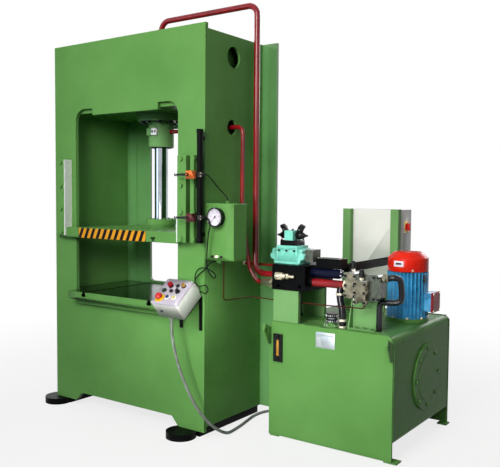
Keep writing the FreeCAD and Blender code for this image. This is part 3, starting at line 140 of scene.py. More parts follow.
def twoTones(tree, coords, patchMm, detail, spread, look):
    # the look's light and dark tones, blended in soft patches
    patches = addNode(tree, "ShaderNodeTexNoise", {"Vector": coords, "Scale": 1 / patchMm, "Detail": detail})
    share = addNode(tree, "ShaderNodeMapRange", {
        "Value": patches, "From Min": 0.5 - spread, "From Max": 0.5 + spread})
    return addNode(tree, "ShaderNodeMix", {0: share, 6: look["light"], 7: look["dark"]}, data_type="RGBA")


finishes = {}


def enamel(name, look):
    # paint with slow drift in its colour, paler edges as a painted highlight, painted shade in inner corners
    # in soft patches, and orange peel
    material, tree, coords = startMaterial(name)
    body = twoTones(tree, coords, look["driftMm"], 3.0, 0.18, look)
    rounded = addNode(tree, "ShaderNodeBevel", {"Radius": look["edgeMm"] / 1000}, samples=4)
    flat = addNode(tree, "ShaderNodeNewGeometry")
    turn = addNode(tree, "ShaderNodeVectorMath", {0: rounded, 1: flat.outputs["Normal"]},
                   operation="DOT_PRODUCT")
    edge = addNode(tree, "ShaderNodeMapRange", {  # painted highlight where the rounded normal turns by 11 to 39 degrees
        "Value": turn, "From Min": 0.98, "From Max": 0.78, "To Max": look["edgeHighlightShare"]})
    edgeHighlighted = addNode(tree, "ShaderNodeMix", {0: edge, 6: body, 7: look["edge"]}, data_type="RGBA")
    # painted shade: darker in the inner corners that ambient occlusion finds, broken into soft patches
    near = addNode(tree, "ShaderNodeAmbientOcclusion", {"Distance": look["cornerShadeMm"] / 1000}, samples=4)
    patch, grain, smear, wave = [
        addNode(tree, "ShaderNodeTexNoise", {
            "Vector": coords, "Scale": 1 / sizeMm, "Detail": detail, "Roughness": weight})
        for sizeMm, detail, weight in (
            (look["cornerShadeMm"] * 0.7, 3.0, 0.6), (look["grainMm"], 3.0, 0.6),
            (look["driftMm"] / 3, 3.0, 0.5), (look["waveMm"], 1.0, 0.5))]
    corner = addNode(tree, "ShaderNodeMath", {0: 1.0, 1: near.outputs["AO"]}, operation="SUBTRACT")
    cornerShade = addNode(tree, "ShaderNodeMath", {0: corner, 1: patch}, operation="MULTIPLY", use_clamp=True)
    cornerShadeAmount = addNode(tree, "ShaderNodeMath", {  # doubled, because the patches halve it
        0: cornerShade, 1: look["cornerShadeShare"] * 2}, operation="MULTIPLY", use_clamp=True)
    colour = addNode(tree, "ShaderNodeMix", {0: cornerShadeAmount, 6: edgeHighlighted, 7: look["cornerShade"]}, data_type="RGBA")
    rough = addNode(tree, "ShaderNodeMapRange", {
        "Value": smear, "From Min": 0.32, "From Max": 0.68,
        "To Min": look["roughness"][0], "To Max": look["roughness"][1]})
    swell = addNode(tree, "ShaderNodeBump", {
        "Height": wave, "Distance": look["waveDepth"] / 1000, "Strength": 0.5, "Normal": rounded})
    peel = addNode(tree, "ShaderNodeBump", {
        "Height": grain, "Distance": look["grainDepth"] / 1000, "Strength": 0.35, "Normal": swell})
    shader = addNode(tree, "ShaderNodeBsdfPrincipled", {
        "Base Color": colour, "Roughness": rough, "Normal": peel, "IOR": 1.5,
        "Specular IOR Level": look["gloss"]})
    addNode(tree, "ShaderNodeOutputMaterial", {"Surface": shader})
    return material


# Alkyd enamel sprayed on filled and rubbed-down plate: even and glossy, with slow waves in what
# it mirrors and a faint orange peel, drawn at 9 mm, coarser than the real 2 mm, so that it shows.
# One green is a shade paler, as painted light on the parts that take it, and one is polished up, so that it
# mirrors its surroundings, with a bluer, lighter colour as a painted reflection.
# In each look the paler edge tone is a painted highlight along edges, and the dark corner tone is painted
# shade in inner corners.
greenLook = {
    "light": "679c53", "dark": "5c9049", "edge": "9cc98c", "edgeHighlightShare": 0.4, "edgeMm": 3,
    "cornerShade": "1d3a1c", "cornerShadeMm": 40, "cornerShadeShare": 0.35, "driftMm": 420, "grainMm": 9, "grainDepth": 0.25,
    "waveMm": 130, "waveDepth": 1.4, "roughness": (0.2, 0.32), "gloss": 0.03}
finishes["green_paint"] = enamel("alkydEnamelSprayedGreen", greenLook)
finishes["paleGreenPaintedLight"] = enamel("alkydEnamelSprayedGreenPaintedLight", dict(greenLook, light="7aa96c", dark="6e9f60"))
finishes["glossyGreenPaintedReflection"] = enamel("alkydEnamelSprayedGreenPolishedPaintedReflection", dict(
    greenLook, light="6ca464", dark="61995a", gloss=0.7, roughness=(0.1, 0.2)))

# The same enamel brushed on drawn tube: thick and wet-looking, with a sharp streak of light.
pipeLook = {
    "light": "92121a", "dark": "700c12", "edge": "b8434a", "edgeHighlightShare": 0.2, "edgeMm": 1,
    "cornerShade": "2e0a0c", "cornerShadeMm": 20, "cornerShadeShare": 0.4, "driftMm": 160, "grainMm": 6, "grainDepth": 0.2,
    "waveMm": 60, "waveDepth": 0.5, "roughness": (0.14, 0.24), "gloss": 0.4}
finishes["red_pipe_paint"] = enamel("alkydEnamelBrushedRed", pipeLook)

# Copper tube under an old brown tarnish: no metal shows, so it takes the paint's nodes.
finishes["brownPipe"] = enamel("copperTubeDrawnAndTarnished", dict(
    pipeLook, light="54281a", dark="3a1a12", edge="7a4a38", gloss=0.1))

# Enamel over sand-cast iron: the casting's grain shows through as soft pits.
valveLook = dict(pipeLook, light="8fead6", dark="74d8c3", edge="c4f5ea", edgeHighlightShare=0.6, edgeMm=4,
                 cornerShade="1d5a50", driftMm=70, grainMm=4, grainDepth=0.8, roughness=(0.32, 0.45))
finishes["turquoise_paint"] = enamel("enamelOnCastIronTurquoise", valveLook)

# Two-part enamel on a die-cast motor housing: a fine grain, and fins with pale edges painted as a highlight.
motorLook = dict(pipeLook, light="44aade", dark="3290c4", edge="8cc8e4", edgeHighlightShare=0.5, edgeMm=2,
                 cornerShade="0c2c42", driftMm=60, grainMm=5, grainDepth=0.4, roughness=(0.22, 0.34))
finishes["blue_paint"] = enamel("enamelOnCastAluminiumBlue", motorLook)

# Enamel on a pressed steel cowl, smoother than the casting below it.
cowlLook = dict(pipeLook, light="ef2c17", dark="da2212", edge="f98068", edgeHighlightShare=0.5, edgeMm=3,
                cornerShade="6a120b", driftMm=90, grainMm=7, gloss=0.1, roughness=(0.22, 0.3))
finishes["red_cowl_paint"] = enamel("enamelOnPressedSteelRed", cowlLook)

# Polyester powder coat: an even fine pebble, drawn at 4 mm, coarser than the real 1 mm.
finishes["grey_paint"] = enamel("polyesterPowderCoatGrey", dict(
    pipeLook, light="eeeeea", dark="e6e6e2", edge="f6f6f2", edgeHighlightShare=0.4, edgeMm=2,
    cornerShade="6f6e68", driftMm=200, grainMm=4, grainDepth=0.4, roughness=(0.4, 0.5)))

# Black enamel on rolled and welded steel: grease-dark, with mill grain under it. On pipe it is
# smoother and shines in a long streak; the navy is the same paint with a blue cast.
blackLook = dict(pipeLook, light="08090a", dark="040505", edge="2a2d30", edgeHighlightShare=0.5, edgeMm=2, gloss=0.05,
                 cornerShade="040404", driftMm=80, grainMm=5, grainDepth=0.5, roughness=(0.3, 0.46))
finishes["blackened_steel"] = enamel("enamelOnRolledSteelBlack", blackLook)
finishes["black_pipe_paint"] = enamel("enamelOnSteelPipeBlack", dict(
    blackLook, light="0c0d16", dark="06070e", gloss=0.3, grainMm=3, roughness=(0.14, 0.28)))
finishes["navyPaint"] = enamel("enamelOnSteelTubeNavy", dict(
    blackLook, light="0a0c28", dark="060718", edge="2c305a", gloss=0.12, roughness=(0.16, 0.26)))
finishes["yellowPaint"] = enamel("enamelOnPressedSteelYellow", dict(
    cowlLook, light="f0c020", dark="dcab14", edge="fbe07a", cornerShade="6a4c08"))  # warm, even and smooth

# Phosphated grey iron, as on cartridge valves: matt and mottled, and darker where oil wets it.
ironLook = dict(blackLook, light="96937f", dark="706d5c", edge="d2d2c4", edgeHighlightShare=0.7, cornerShade="2c2b24",
                cornerShadeShare=0.7, driftMm=26, grainMm=3, grainDepth=0.6, roughness=(0.38, 0.55))
finishes["greyIron"] = enamel("castIronPhosphated", ironLook)
finishes["oilyIron"] = enamel("castIronPhosphatedOily", dict(
    ironLook, light="5f675b", dark="3a433a", edge="8c988a", gloss=0.4, roughness=(0.1, 0.24)))


def grained(name, look):
    # two soft tones under a fine grain, which stretch draws out along the way that metal was worked
    material, tree, coords = startMaterial(name)
    stretch = addNode(tree, "ShaderNodeMapping", {"Vector": coords, "Scale": look["stretch"]})
    lines = addNode(tree, "ShaderNodeTexNoise", {
        "Vector": stretch, "Scale": 1 / look["lineMm"], "Detail": 2.0, "Roughness": look["lineBreaks"]})
    colour = twoTones(tree, coords, look["stainMm"], look["stainDetail"], 0.2, look)
    rough = addNode(tree, "ShaderNodeMapRange", {
        "Value": lines, "From Min": 0.3, "From Max": 0.7,
        "To Min": look["roughness"][0], "To Max": look["roughness"][1]})
    scratch = addNode(tree, "ShaderNodeBump", {
        "Height": lines, "Distance": look["lineDepth"] / 1000, "Strength": 0.3})
    shader = addNode(tree, "ShaderNodeBsdfPrincipled", {
        "Base Color": colour, "Roughness": rough, "Normal": scratch, "Metallic": look["metal"],
        "IOR": look["ior"], "Specular IOR Level": look["gloss"], "Alpha": look["cover"]})
    addNode(tree, "ShaderNodeOutputMaterial", {"Surface": shader})
    return material


# Hard chrome, ground and polished round the rod: a mirror with faint rings.
chromeLook = {
    "light": "b4bcc0", "dark": "98a0a6", "stretch": (1, 1, 8), "lineMm": 24, "lineDepth": 0.02,
    "lineBreaks": 0.6, "stainMm": 90, "stainDetail": 3.0, "roughness": (0.05, 0.11), "metal": 1.0,
    "ior": 1.5, "gloss": 0.5, "cover": 1.0}
finishes["hard_chrome"] = grained("hardChromeGroundAndPolished", chromeLook)

# Ground tool steel: bright, with fine lines along the travel.
finishes["bright_steel"] = grained("toolSteelSurfaceGround", dict(
    chromeLook, light="e6e8e8", dark="cfd3d4", stretch=(6, 6, 0.4), lineMm=14, lineDepth=0.05,
    stainMm=60, roughness=(0.24, 0.38)))

# Zinc plate with a cream-yellow passivate, as on hydraulic fittings: warm, soft and cloudy.
finishes["zinc_plate"] = grained("zincPlateYellowPassivated", dict(
    chromeLook, light="efe7d2", dark="d3c8aa", stretch=(1, 1, 1), lineMm=9, lineDepth=0.1,
    stainMm=28, roughness=(0.34, 0.5)))

# Black-oxided bolts: nearly black, with a dull oily shine.
finishes["blackOxide"] = grained("steelBlackOxided", dict(
    chromeLook, light="33353a", dark="1d1e21", stretch=(1, 1, 1), lineMm=6, lineDepth=0.05,
    stainMm=14, roughness=(0.3, 0.45)))

# Milled plate under a film of oil: dark, with cutter lines across the bed and almost a mirror.
finishes["oiledPlate"] = grained("mildSteelMilledAndOiled", dict(
    chromeLook, light="31463c", dark="1b2a24", stretch=(0.15, 4, 1), lineMm=30, lineDepth=0.06,
    stainMm=210, roughness=(0.12, 0.26)))

# Anodised aluminium sheet, as on a rating plate: pale, satin, fine lines along it.
finishes["platePale"] = grained("aluminiumBrushedAndAnodised", dict(
    chromeLook, light="c3cdd0", dark="a9b4b8", stretch=(0.3, 1, 6), lineMm=12, lineDepth=0.02,
    stainMm=50, roughness=(0.3, 0.42)))

# Plastic, rubber and print: an even colour, a fine grain as from a spark-eroded mould, soft highlights.
mouldLook = {"stretch": (1, 1, 1), "lineMm": 3, "lineDepth": 0.08, "lineBreaks": 0.5, "stainMm": 30,
             "stainDetail": 2.0, "smoother": 0.05, "rougher": 0.06, "metal": 0.0, "ior": 1.52}

# Each row is name, light tone, dark tone, roughness and gloss.
plastics = {
    "black_plastic": ("polyamideMouldedBlack", "0f1012", "08090a", 0.34, 0.2),  # satin, near black
    "red_plastic": ("absMouldedRed", "d3261d", "b41b14", 0.22, 0.4),  # signal red with a clear highlight
    "dark_red_plastic": ("absMouldedDarkRed", "981420", "7e0f18", 0.24, 0.12),  # deep red, little shine
    "blue_plastic": ("absMouldedBlue", "1f2f63", "16234c", 0.25, 0.4),  # dark and smooth
    "cream_plastic": ("absMouldedYellow", "cfc27a", "bcae62", 0.25, 0.4),  # pale straw, smooth
    "green_plastic": ("absMouldedGreen", "14402a", "0e2e1e", 0.25, 0.4),  # bottle green, smooth
    "gold_plastic": ("absMouldedGold", "b08a44", "8f6c30", 0.28, 0.4),  # dull old gold
    "switch_plastic": ("polycarbonateMouldedOrange", "e0742a", "c95e1e", 0.3, 0.4),  # warm and satin
    "switchRed": ("polycarbonateMouldedDarkRed", "5e1418", "470d11", 0.3, 0.4),  # wine red, satin
    "cable_rubber": ("pvcSheathExtrudedBlack", "0a140c", "060c08", 0.5, 0.08),  # matt, hardly a highlight
    "conduit_grey": ("pvcCoatedConduitGrey", "888f87", "707770", 0.36, 0.2),  # soft light on each rib
    "whitePlastic": ("polyethyleneMachinedWhite", "f6f8f6", "eceeec", 0.2, 0.9),  # waxy, bright white
    "lidGrey": ("polyesterMouldedPaleGrey", "aca6b2", "a29ca8", 0.34, 0.4),  # cool grey, satin
    "shellGrey": ("polyesterMouldedGrey", "f0f0ec", "e6e6e2", 0.4, 0.6),  # off-white, soft sheen
    "dialWhite": ("enamelPrintedWhite", "ebe4ee", "e2dae6", 0.4, 0.4),  # flat cool white
    "dialInk": ("inkScreenPrintedBlack", "1c1a20", "121115", 0.5, 0.4),  # flat and dense
    "lampAmber": ("polycarbonateMouldedYellowGreen", "b9b44c", "a09a3a", 0.18, 0.4),  # glassy, unlit
    "clearCover": ("acrylicCastClear", "ffffff", "fafcff", 0.08, 0.25),  # seen only by its glints
    "oilColumn": ("mineralOilBehindAcrylic", "c7912a", "b07a1c", 0.1, 0.4),  # amber, wet
    "blankField": ("aluminiumPrintedDarkGreen", "49605c", "3d524f", 0.35, 0.4)}  # a dull printed field
for key, (name, light, dark, rough, gloss) in plastics.items():
    finishes[key] = grained(name, dict(
        mouldLook, light=light, dark=dark, gloss=gloss, cover=0.1 if key == "clearCover" else 1.0,
        roughness=(rough - mouldLook["smoother"], rough + mouldLook["rougher"])))

# Yellow enamel brushed on, with black bars masked off at a slant: strokes show in the yellow and
# the bars' edges are a little ragged.
hazard = {"pitch": 54.0, "share": 0.5, "lean": 0.45, "ragged": 1.2, "start": 500.0, "wobbleMm": 6,
          "brushMm": 24, "strokeDepth": 0.2, "yellow": "eaa828", "orange": "d88e1c", "black": "060505"}
material, tree, coords = startMaterial("enamelBrushedYellowAndBlack")
parts = addNode(tree, "ShaderNodeSeparateXYZ", {0: coords})
wobble = addNode(tree, "ShaderNodeTexNoise", {"Vector": coords, "Scale": 1 / hazard["wobbleMm"]})
lean = addNode(tree, "ShaderNodeMath", {
    0: parts.outputs["Z"], 1: -hazard["lean"], 2: parts.outputs["X"]}, operation="MULTIPLY_ADD")
ragged = addNode(tree, "ShaderNodeMath", {0: wobble, 1: hazard["ragged"], 2: lean}, operation="MULTIPLY_ADD")
moved = addNode(tree, "ShaderNodeMath", {0: ragged, 1: hazard["start"]}, operation="ADD")
turns = addNode(tree, "ShaderNodeMath", {0: moved, 1: hazard["pitch"]}, operation="DIVIDE")
share = addNode(tree, "ShaderNodeMath", {0: turns}, operation="FRACT")
bar = addNode(tree, "ShaderNodeMath", {0: share, 1: hazard["share"]}, operation="LESS_THAN")
brush = addNode(tree, "ShaderNodeTexNoise", {
    "Vector": coords, "Scale": 1 / hazard["brushMm"], "Detail": 3.0})
yellow = addNode(tree, "ShaderNodeMix", {0: brush, 6: hazard["yellow"], 7: hazard["orange"]},
                 data_type="RGBA")
colour = addNode(tree, "ShaderNodeMix", {0: bar, 6: hazard["black"], 7: yellow}, data_type="RGBA")
rough = addNode(tree, "ShaderNodeMapRange", {"Value": brush, "To Min": 0.26, "To Max": 0.4})
strokes = addNode(tree, "ShaderNodeBump", {
    "Height": wobble, "Distance": hazard["strokeDepth"] / 1000, "Strength": 0.4})
shader = addNode(tree, "ShaderNodeBsdfPrincipled", {
    "Base Color": colour, "Roughness": rough, "Normal": strokes, "Specular IOR Level": 0.08})
addNode(tree, "ShaderNodeOutputMaterial", {"Surface": shader})
finishes["hazard_paint"] = material

# Each CAD node takes the finish of its slot in the record; a few need a closer match.
closer = {"relief_block": "oilyIron", "line_filter": "navyPaint", "tank_uprights": "paleGreenPaintedLight",
          "rear_frame_plate": "glossyGreenPaintedReflection", "cylinder": "paleGreenPaintedLight", "gauge_tube": "brownPipe"}
for row in frame["record"]["subparts"]:
    node = nodes[row["node"]]
    node.data.materials.clear()
    node.data.materials.append(finishes[closer.get(row["node"], row["material_slot"])])
print("finishes made,", len(finishes))


def tubeCurve(name, points, width, steps, sides):
    # a curve drawn along its points, with a round section and closed ends
    curve = bpy.data.curves.new(name, "CURVE")
    curve.dimensions = "3D"
    curve.resolution_u = steps
    spline = curve.splines.new("NURBS")
    spline.points.add(len(points) - 1)
    for spot, point in zip(spline.points, points):
        spot.co = (*point, 1)
    spline.order_u = 3
    spline.use_endpoint_u = True
    curve.bevel_depth = width / 2
    curve.bevel_resolution = sides
    curve.use_fill_caps = True
    return linked(name, curve)


def meshOf(holder):
    # what a modifier, a curve or a text comes to, as a plain mesh; its holder goes
    seen = holder.evaluated_get(bpy.context.evaluated_depsgraph_get())
    mesh = bpy.data.meshes.new_from_object(seen)
    holder.modifiers.clear()
    bpy.data.objects.remove(holder)
    return mesh


# Points in metres, in the model's own frame, as they are in the part's source.
upperCable = {
    "width": 0.007, "length": 0.208,
    "points": [
        (0.6842, -0.384, 0.747), (0.704, -0.384, 0.747), (0.72, -0.375, 0.73), (0.731, -0.358, 0.703),
        (0.745, -0.34, 0.675), (0.761, -0.32, 0.649), (0.776, -0.307, 0.629), (0.784, -0.302, 0.615),
        (0.784, -0.302, 0.6012)]}
lowerCable = {
    "width": 0.007, "length": 0.811,
    "points": [
        (0.6842, -0.384, 0.505), (0.706, -0.384, 0.505), (0.721, -0.384, 0.488), (0.724, -0.383, 0.459),
        (0.71, -0.382, 0.412), (0.702, -0.379, 0.358), (0.692, -0.373, 0.294), (0.687, -0.367, 0.239),
        (0.694, -0.363, 0.201), (0.715, -0.362, 0.177), (0.731, -0.36, 0.164), (0.744, -0.358, 0.167),
        (0.745, -0.357, 0.18), (0.732, -0.358, 0.193), (0.706, -0.362, 0.209), (0.676, -0.367, 0.218),
        (0.644, -0.371, 0.217), (0.619, -0.374, 0.199), (0.608, -0.375, 0.17), (0.606, -0.374, 0.142),
        (0.613, -0.371, 0.119), (0.628, -0.368, 0.107), (0.647, -0.364, 0.111), (0.665, -0.36, 0.12),
        (0.683, -0.357, 0.112), (0.69, -0.356, 0.094), (0.681, -0.355, 0.075), (0.661, -0.353, 0.066),
        (0.64, -0.352, 0.077), (0.6222, -0.352, 0.077)]}
pendantCable = {
    "width": 0.007, "length": 0.198,
    "points": [
        (0.7102, -0.3134, 0.254), (0.6971, -0.3299, 0.254), (0.683, -0.346, 0.234), (0.667, -0.354, 0.209),
        (0.644, -0.359, 0.191), (0.619, -0.362, 0.171), (0.598, -0.363, 0.147), (0.598, -0.363, 0.1212)]}
conduit = {
    "width": 0.019, "length": 2.806, "ribPitch": 0.009, "ribDepth": 0.0016, "sides": 14,
    "points": [
        (0.508, -0.466, -0.0772), (0.508, -0.466, -0.131), (0.519, -0.469, -0.193),
        (0.536, -0.467, -0.259), (0.556, -0.464, -0.33), (0.586, -0.459, -0.407), (0.622, -0.45, -0.485),
        (0.658, -0.43, -0.565), (0.69, -0.392, -0.639), (0.716, -0.342, -0.699), (0.73, -0.276, -0.746),
        (0.724, -0.204, -0.775), (0.706, -0.118, -0.781), (0.69, -0.022, -0.781), (0.664, 0.086, -0.781),
        (0.642, 0.188, -0.781), (0.65, 0.286, -0.781), (0.7, 0.364, -0.781), (0.762, 0.434, -0.781),
        (0.806, 0.524, -0.781), (0.826, 0.624, -0.781), (0.838, 0.726, -0.781), (0.872, 0.818, -0.781),
        (0.942, 0.884, -0.781), (1.01, 0.926, -0.771), (1.046, 0.944, -0.717), (1.052, 0.946, -0.631),
        (1.046, 0.944, -0.491), (1.052, 0.942, -0.351), (1.05, 0.943, -0.211), (1.05, 0.943, -0.079)]}

for name, cable in (("upper_switch_cable", upperCable), ("lower_switch_cable", lowerCable),
                    ("pendant_cable", pendantCable)):
    piece = tubeCurve(name + "_sheath", cable["points"], cable["width"], 12, 5)
    piece.data.materials.append(finishes["cable_rubber"])
    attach(piece, "frame")
    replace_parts(piece, name)


def skin(shape, rings, look=0, looped=False):
    # faces between rings of points, some of them a single point; a looped outline has no ends to close
    faces = []
    for first, second in zip(rings, rings[1:] + rings[:1] if looped else rings[1:]):
        count = max(len(first), len(second))
        for k in range(count):
            after = (k + 1) % count
            corners = list(dict.fromkeys((first[k % len(first)], first[after % len(first)],
                                          second[after % len(second)], second[k % len(second)])))
            if len(corners) > 2:
                faces.append(shape.faces.new(corners))
    if not looped:
        faces += [shape.faces.new(end) for end in (rings[0][::-1], rings[-1]) if len(end) > 2]
    bmesh.ops.recalc_face_normals(shape, faces=faces)
    for face in faces:
        face.material_index = look


def ribbedTube(name, route, look):
    # rings follow the route at half the rib pitch, every second one drawn in, as on a wound conduit
    lengths = [0]
    for first, second in zip(route, route[1:]):
        lengths.append(lengths[-1] + (second - first).length)
    count = round(lengths[-1] / (look["ribPitch"] / 2))
    shape = bmesh.new()
    rings = []
    spot = 0
    side = Vector(right)
    for step in range(count + 1):
        far = lengths[-1] * step / count
        while spot < len(route) - 2 and lengths[spot + 1] < far:
            spot += 1
        along = route[spot + 1] - route[spot]
        centre = route[spot] + along * ((far - lengths[spot]) / along.length)
        along.normalize()
        side = (side - along * side.dot(along)).normalized()
        over = along.cross(side)
        radius = look["width"] / 2 - (look["ribDepth"] if step % 2 else 0)
        ring = []
        for corner in range(look["sides"]):
            angle = 2 * pi * corner / look["sides"]
            ring.append(shape.verts.new(centre + (side * cos(angle) + over * sin(angle)) * radius))
        rings.append(ring)
    skin(shape, rings)
    mesh = bpy.data.meshes.new(name)
    shape.to_mesh(mesh)
    shape.free()
    mesh.shade_smooth()
    return linked(name, mesh)


# A tube without thickness gives the conduit's own line.
conduitLine = meshOf(tubeCurve("conduit_line", conduit["points"], 0, 12, 4))
conduitRoute = [vertex.co.copy() for vertex in conduitLine.vertices]
bpy.data.meshes.remove(conduitLine)
conduitPiece = ribbedTube("conduit_sheath", conduitRoute, conduit)
conduitPiece.data.materials.append(finishes["conduit_grey"])
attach(conduitPiece, "frame")
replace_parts(conduitPiece, "conduit")
print("cords made")


# Shapes are built in floor millimetres, and one matrix takes the result to the frame.
def keepMesh(name, mesh, body, smoothTo=32):
    mesh.name = name
    mesh.transform(floorToFrame)
    mesh.shade_smooth()
    mesh.set_sharp_from_angle(angle=radians(smoothTo))
    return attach(linked(name, mesh), body)


def keepShape(name, shape, looks, body="frame"):
    # the same for a shape that was built by hand, with the finishes that its faces count from 0
    mesh = bpy.data.meshes.new(name)
    shape.to_mesh(mesh)
    shape.free()
    for look in looks:
        mesh.materials.append(finishes[look])
    return keepMesh(name, mesh, body)


def assembled(name, looks, parts, body="frame"):
    # parts are rows of the function that adds a form, and what it takes
    shape = bmesh.new()
    for part, *given in parts:
        part(shape, *given)
    return keepShape(name, shape, looks, body)


def block(shape, low, high, bevel=0, look=0, turn=None):
    # a box with softened edges; turn is a matrix about its own middle
    middle = Matrix.Translation([(a + b) / 2 for a, b in zip(low, high)])
    size = Matrix.Diagonal([b - a for a, b in zip(low, high)] + [1])
    made = bmesh.ops.create_cube(shape, size=1, matrix=middle @ (turn or Matrix()) @ size)
    faces = {face for vertex in made["verts"] for face in vertex.link_faces}
    if bevel:
        edges = {edge for face in faces for edge in face.edges}
        cut = bmesh.ops.bevel(shape, geom=list(edges), offset=bevel, segments=2, profile=0.6, affect="EDGES")
        faces = set(cut["faces"]) | {face for face in faces if face.is_valid}
    for face in faces:
        face.material_index = look


def lathe(shape, place, facing, outline, sides=24, look=0):
    # outline runs along facing as (radius, height); it starts and ends on the axis, or goes round a ring
    turn = Vector(facing).to_track_quat("Z", "Y").to_matrix().to_4x4()
    where = Matrix.Translation(place) @ turn
    rings = []
    for radius, height in outline:
        angles = [2 * pi * k / sides for k in range(sides if radius else 1)]
        rings.append([shape.verts.new(where @ Vector((radius * cos(angle), radius * sin(angle), height)))
                      for angle in angles])
    skin(shape, rings, look, outline[0][0] > 0)


def shapeOf(node):
    # a copy of a node with its doubles merged, in floor millimetres
    shape = bmesh.new()
    shape.from_mesh(nodes[node].data)
    bmesh.ops.remove_doubles(shape, verts=shape.verts, dist=1e-6)
    bmesh.ops.transform(shape, matrix=floorToFrame.inverted(), verts=shape.verts)
    return shape


def dressed(node, looks, zones):
    # a node whose faces take another finish where all their corners lie in a zone: (low, high, look)
    shape = shapeOf(node)
    for face in shape.faces:
        corners = [vertex.co for vertex in face.verts]
        face.material_index = 0
        for low, high, look in zones:
            if all(low[i] - 0.05 <= corner[i] <= high[i] + 0.05 for corner in corners for i in range(3)):
                face.material_index = look
    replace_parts(keepShape(node + "_dressed", shape, looks, nodes[node]["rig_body"]), node)


# The guides' inner strips take the white finish, a painted reflection standing in for the bright shine of
# their machined faces.
dressed("guide_rails", ["green_paint", "whitePlastic"], [
    ((-494, -60, 1150), (-488, 0, 1650), 1), ((488, -60, 1150), (494, 0, 1650), 1)])
dressed("fasteners", ["blackOxide", "green_paint"], [((-640, -80, 1150), (640, -20, 1680), 1)])
for lever in ("upper_switch_lever", "lower_switch_lever"):
    dressed(lever, ["black_plastic", "whitePlastic"], [((528, -140, 1200), (552, -60, 1620), 1)])
dressed("limit_switches", ["black_plastic", "switch_plastic", "switchRed"], [
    ((600, -122, 1500), (640, -68, 1575), 1), ((600, -122, 1260), (640, -68, 1335), 2)])
dressed("main_valve", ["turquoise_paint", "oilyIron"], [((1090, 380, 1030), (1140, 490, 1120), 1)])
dressed("pipe_fittings", ["zinc_plate", "greyIron", "bright_steel"], [
    ((1370, 290, 830), (1530, 420, 1060), 1), ((1370, 290, 1000), (1442, 420, 1060), 2),
    ((1450, 290, 964), (1530, 420, 1020), 2)])
dressed("terminal_box", ["blue_paint", "dark_red_plastic"], [((1698, 780, 740), (1715, 915, 870), 1)])
dressed("cabinet_box", ["grey_paint", "yellowPaint"], [((1330, 1255, 1178), (1340, 1330, 1264), 1)])
dressed("motor_body", ["blue_paint", "green_paint"], [((1400, 715, 683), (1665, 981, 705), 1)])
dressed("pressure_gauge", ["black_plastic", "dialWhite"], [((698, -28.2, 1251), (796, -27.8, 1349), 1)])
dressed("gauge_box", ["green_paint", "black_plastic", "zinc_plate"], [
    ((700, -13, 1066), (720, 0, 1086), 1), ((731, -13, 1066), (751, 0, 1086), 2),
    ((766, -13, 1066), (786, 0, 1086), 1)])

# The bolster's top and its slots are bare metal under oil.
bolster = {"slotFloor": 760, "slotMiddle": 288, "slotHalf": 20}
shape = shapeOf("bolster")
for face in shape.faces:
    middle = face.calc_center_median()
    inSlot = (abs(abs(middle.x) - bolster["slotMiddle"]) < bolster["slotHalf"]
              and middle.z > bolster["slotFloor"])
    onTop = min(vertex.co.z for vertex in face.verts) > layout["bolsterTop"] - 0.1
    face.material_index = 1 if inSlot or onTop else 0
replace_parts(keepShape("bolster_dressed", shape, ["green_paint", "oiledPlate"]), "bolster")

# The push-button box: its lid leans back, so its zones are told in the lid's own directions.
lid = {"corner": Vector((437, -224, 815)), "tilt": radians(38.8), "thickness": 12,
       "pale": ((97, 51), (143, 51)), "paleHalf": 18, "yellow": ((47, 39),), "yellowHalf": 32}
lidUp = Vector((0, cos(lid["tilt"]), sin(lid["tilt"])))
lidOut = Vector((0, -sin(lid["tilt"]), cos(lid["tilt"])))


def onLid(across, slope, height=0):
    return lid["corner"] + Vector((across, 0, 0)) + lidUp * slope + lidOut * height


shape = shapeOf("pendant_box")
for face in shape.faces:
    away = face.calc_center_median() - lid["corner"]
    slope = away.dot(lidUp)
    height = max((vertex.co - lid["corner"]).dot(lidOut) for vertex in face.verts)
    pale, yellow = (any(abs(away.x - x) < lid[half] and abs(slope - y) < lid[half] for x, y in lid[colour])
                    for colour, half in (("pale", "paleHalf"), ("yellow", "yellowHalf")))
    face.material_index = (0 if height < 0.1 - lid["thickness"] else 1 if height < 0.1
                           else 2 if yellow else 3 if pale else 4)
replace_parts(keepShape("pendant_dressed", shape, [
    "shellGrey", "lidGrey", "yellowPaint", "whitePlastic", "black_plastic"]), "pendant_box")
print("nodes with several finishes dressed")


def startTree(name, inputs):
    # Geometry Nodes put one small shape on points that carry a facing and a size
    tree = bpy.data.node_groups.new(name, "GeometryNodeTree")
    tree.is_modifier = True
    tree.interface.new_socket("Geometry", in_out="INPUT", socket_type="NodeSocketGeometry")
    for label, kind in inputs.items():
        tree.interface.new_socket(label, in_out="INPUT", socket_type="NodeSocket" + kind)
    tree.interface.new_socket("Geometry", in_out="OUTPUT", socket_type="NodeSocketGeometry")
    return tree, addNode(tree, "NodeGroupInput").outputs


def withFinish(tree, shapes, finish):
    # the end of every tree: what was put out becomes real geometry in its material
    real = addNode(tree, "GeometryNodeRealizeInstances", {0: shapes})
    return addNode(tree, "GeometryNodeSetMaterial", {"Geometry": real, "Material": finish})


def grown(name, tree, points, values, body, edges=(), smoothTo=32):
    # points are rows of (place, {attribute: value}) in floor mm; the result is a plain mesh in the frame
    seeds = bpy.data.meshes.new(name + "_seeds")
    seeds.from_pydata([place for place, carried in points], edges, [])
    for key, sample in points[0][1].items():
        vector = hasattr(sample, "__len__")
        layer = seeds.attributes.new(key, "FLOAT_VECTOR" if vector else "FLOAT", "POINT")
        for slot, (place, carried) in zip(layer.data, points):
            setattr(slot, "vector" if vector else "value", carried[key])
    holder = linked(name + "_seeds", seeds)
    modifier = holder.modifiers.new("grow", "NODES")
    modifier.node_group = tree
    for item in tree.interface.items_tree:
        if item.in_out == "INPUT" and item.name in values:
            modifier[item.identifier] = values[item.name]
    return keepMesh(name, meshOf(holder), body, smoothTo)


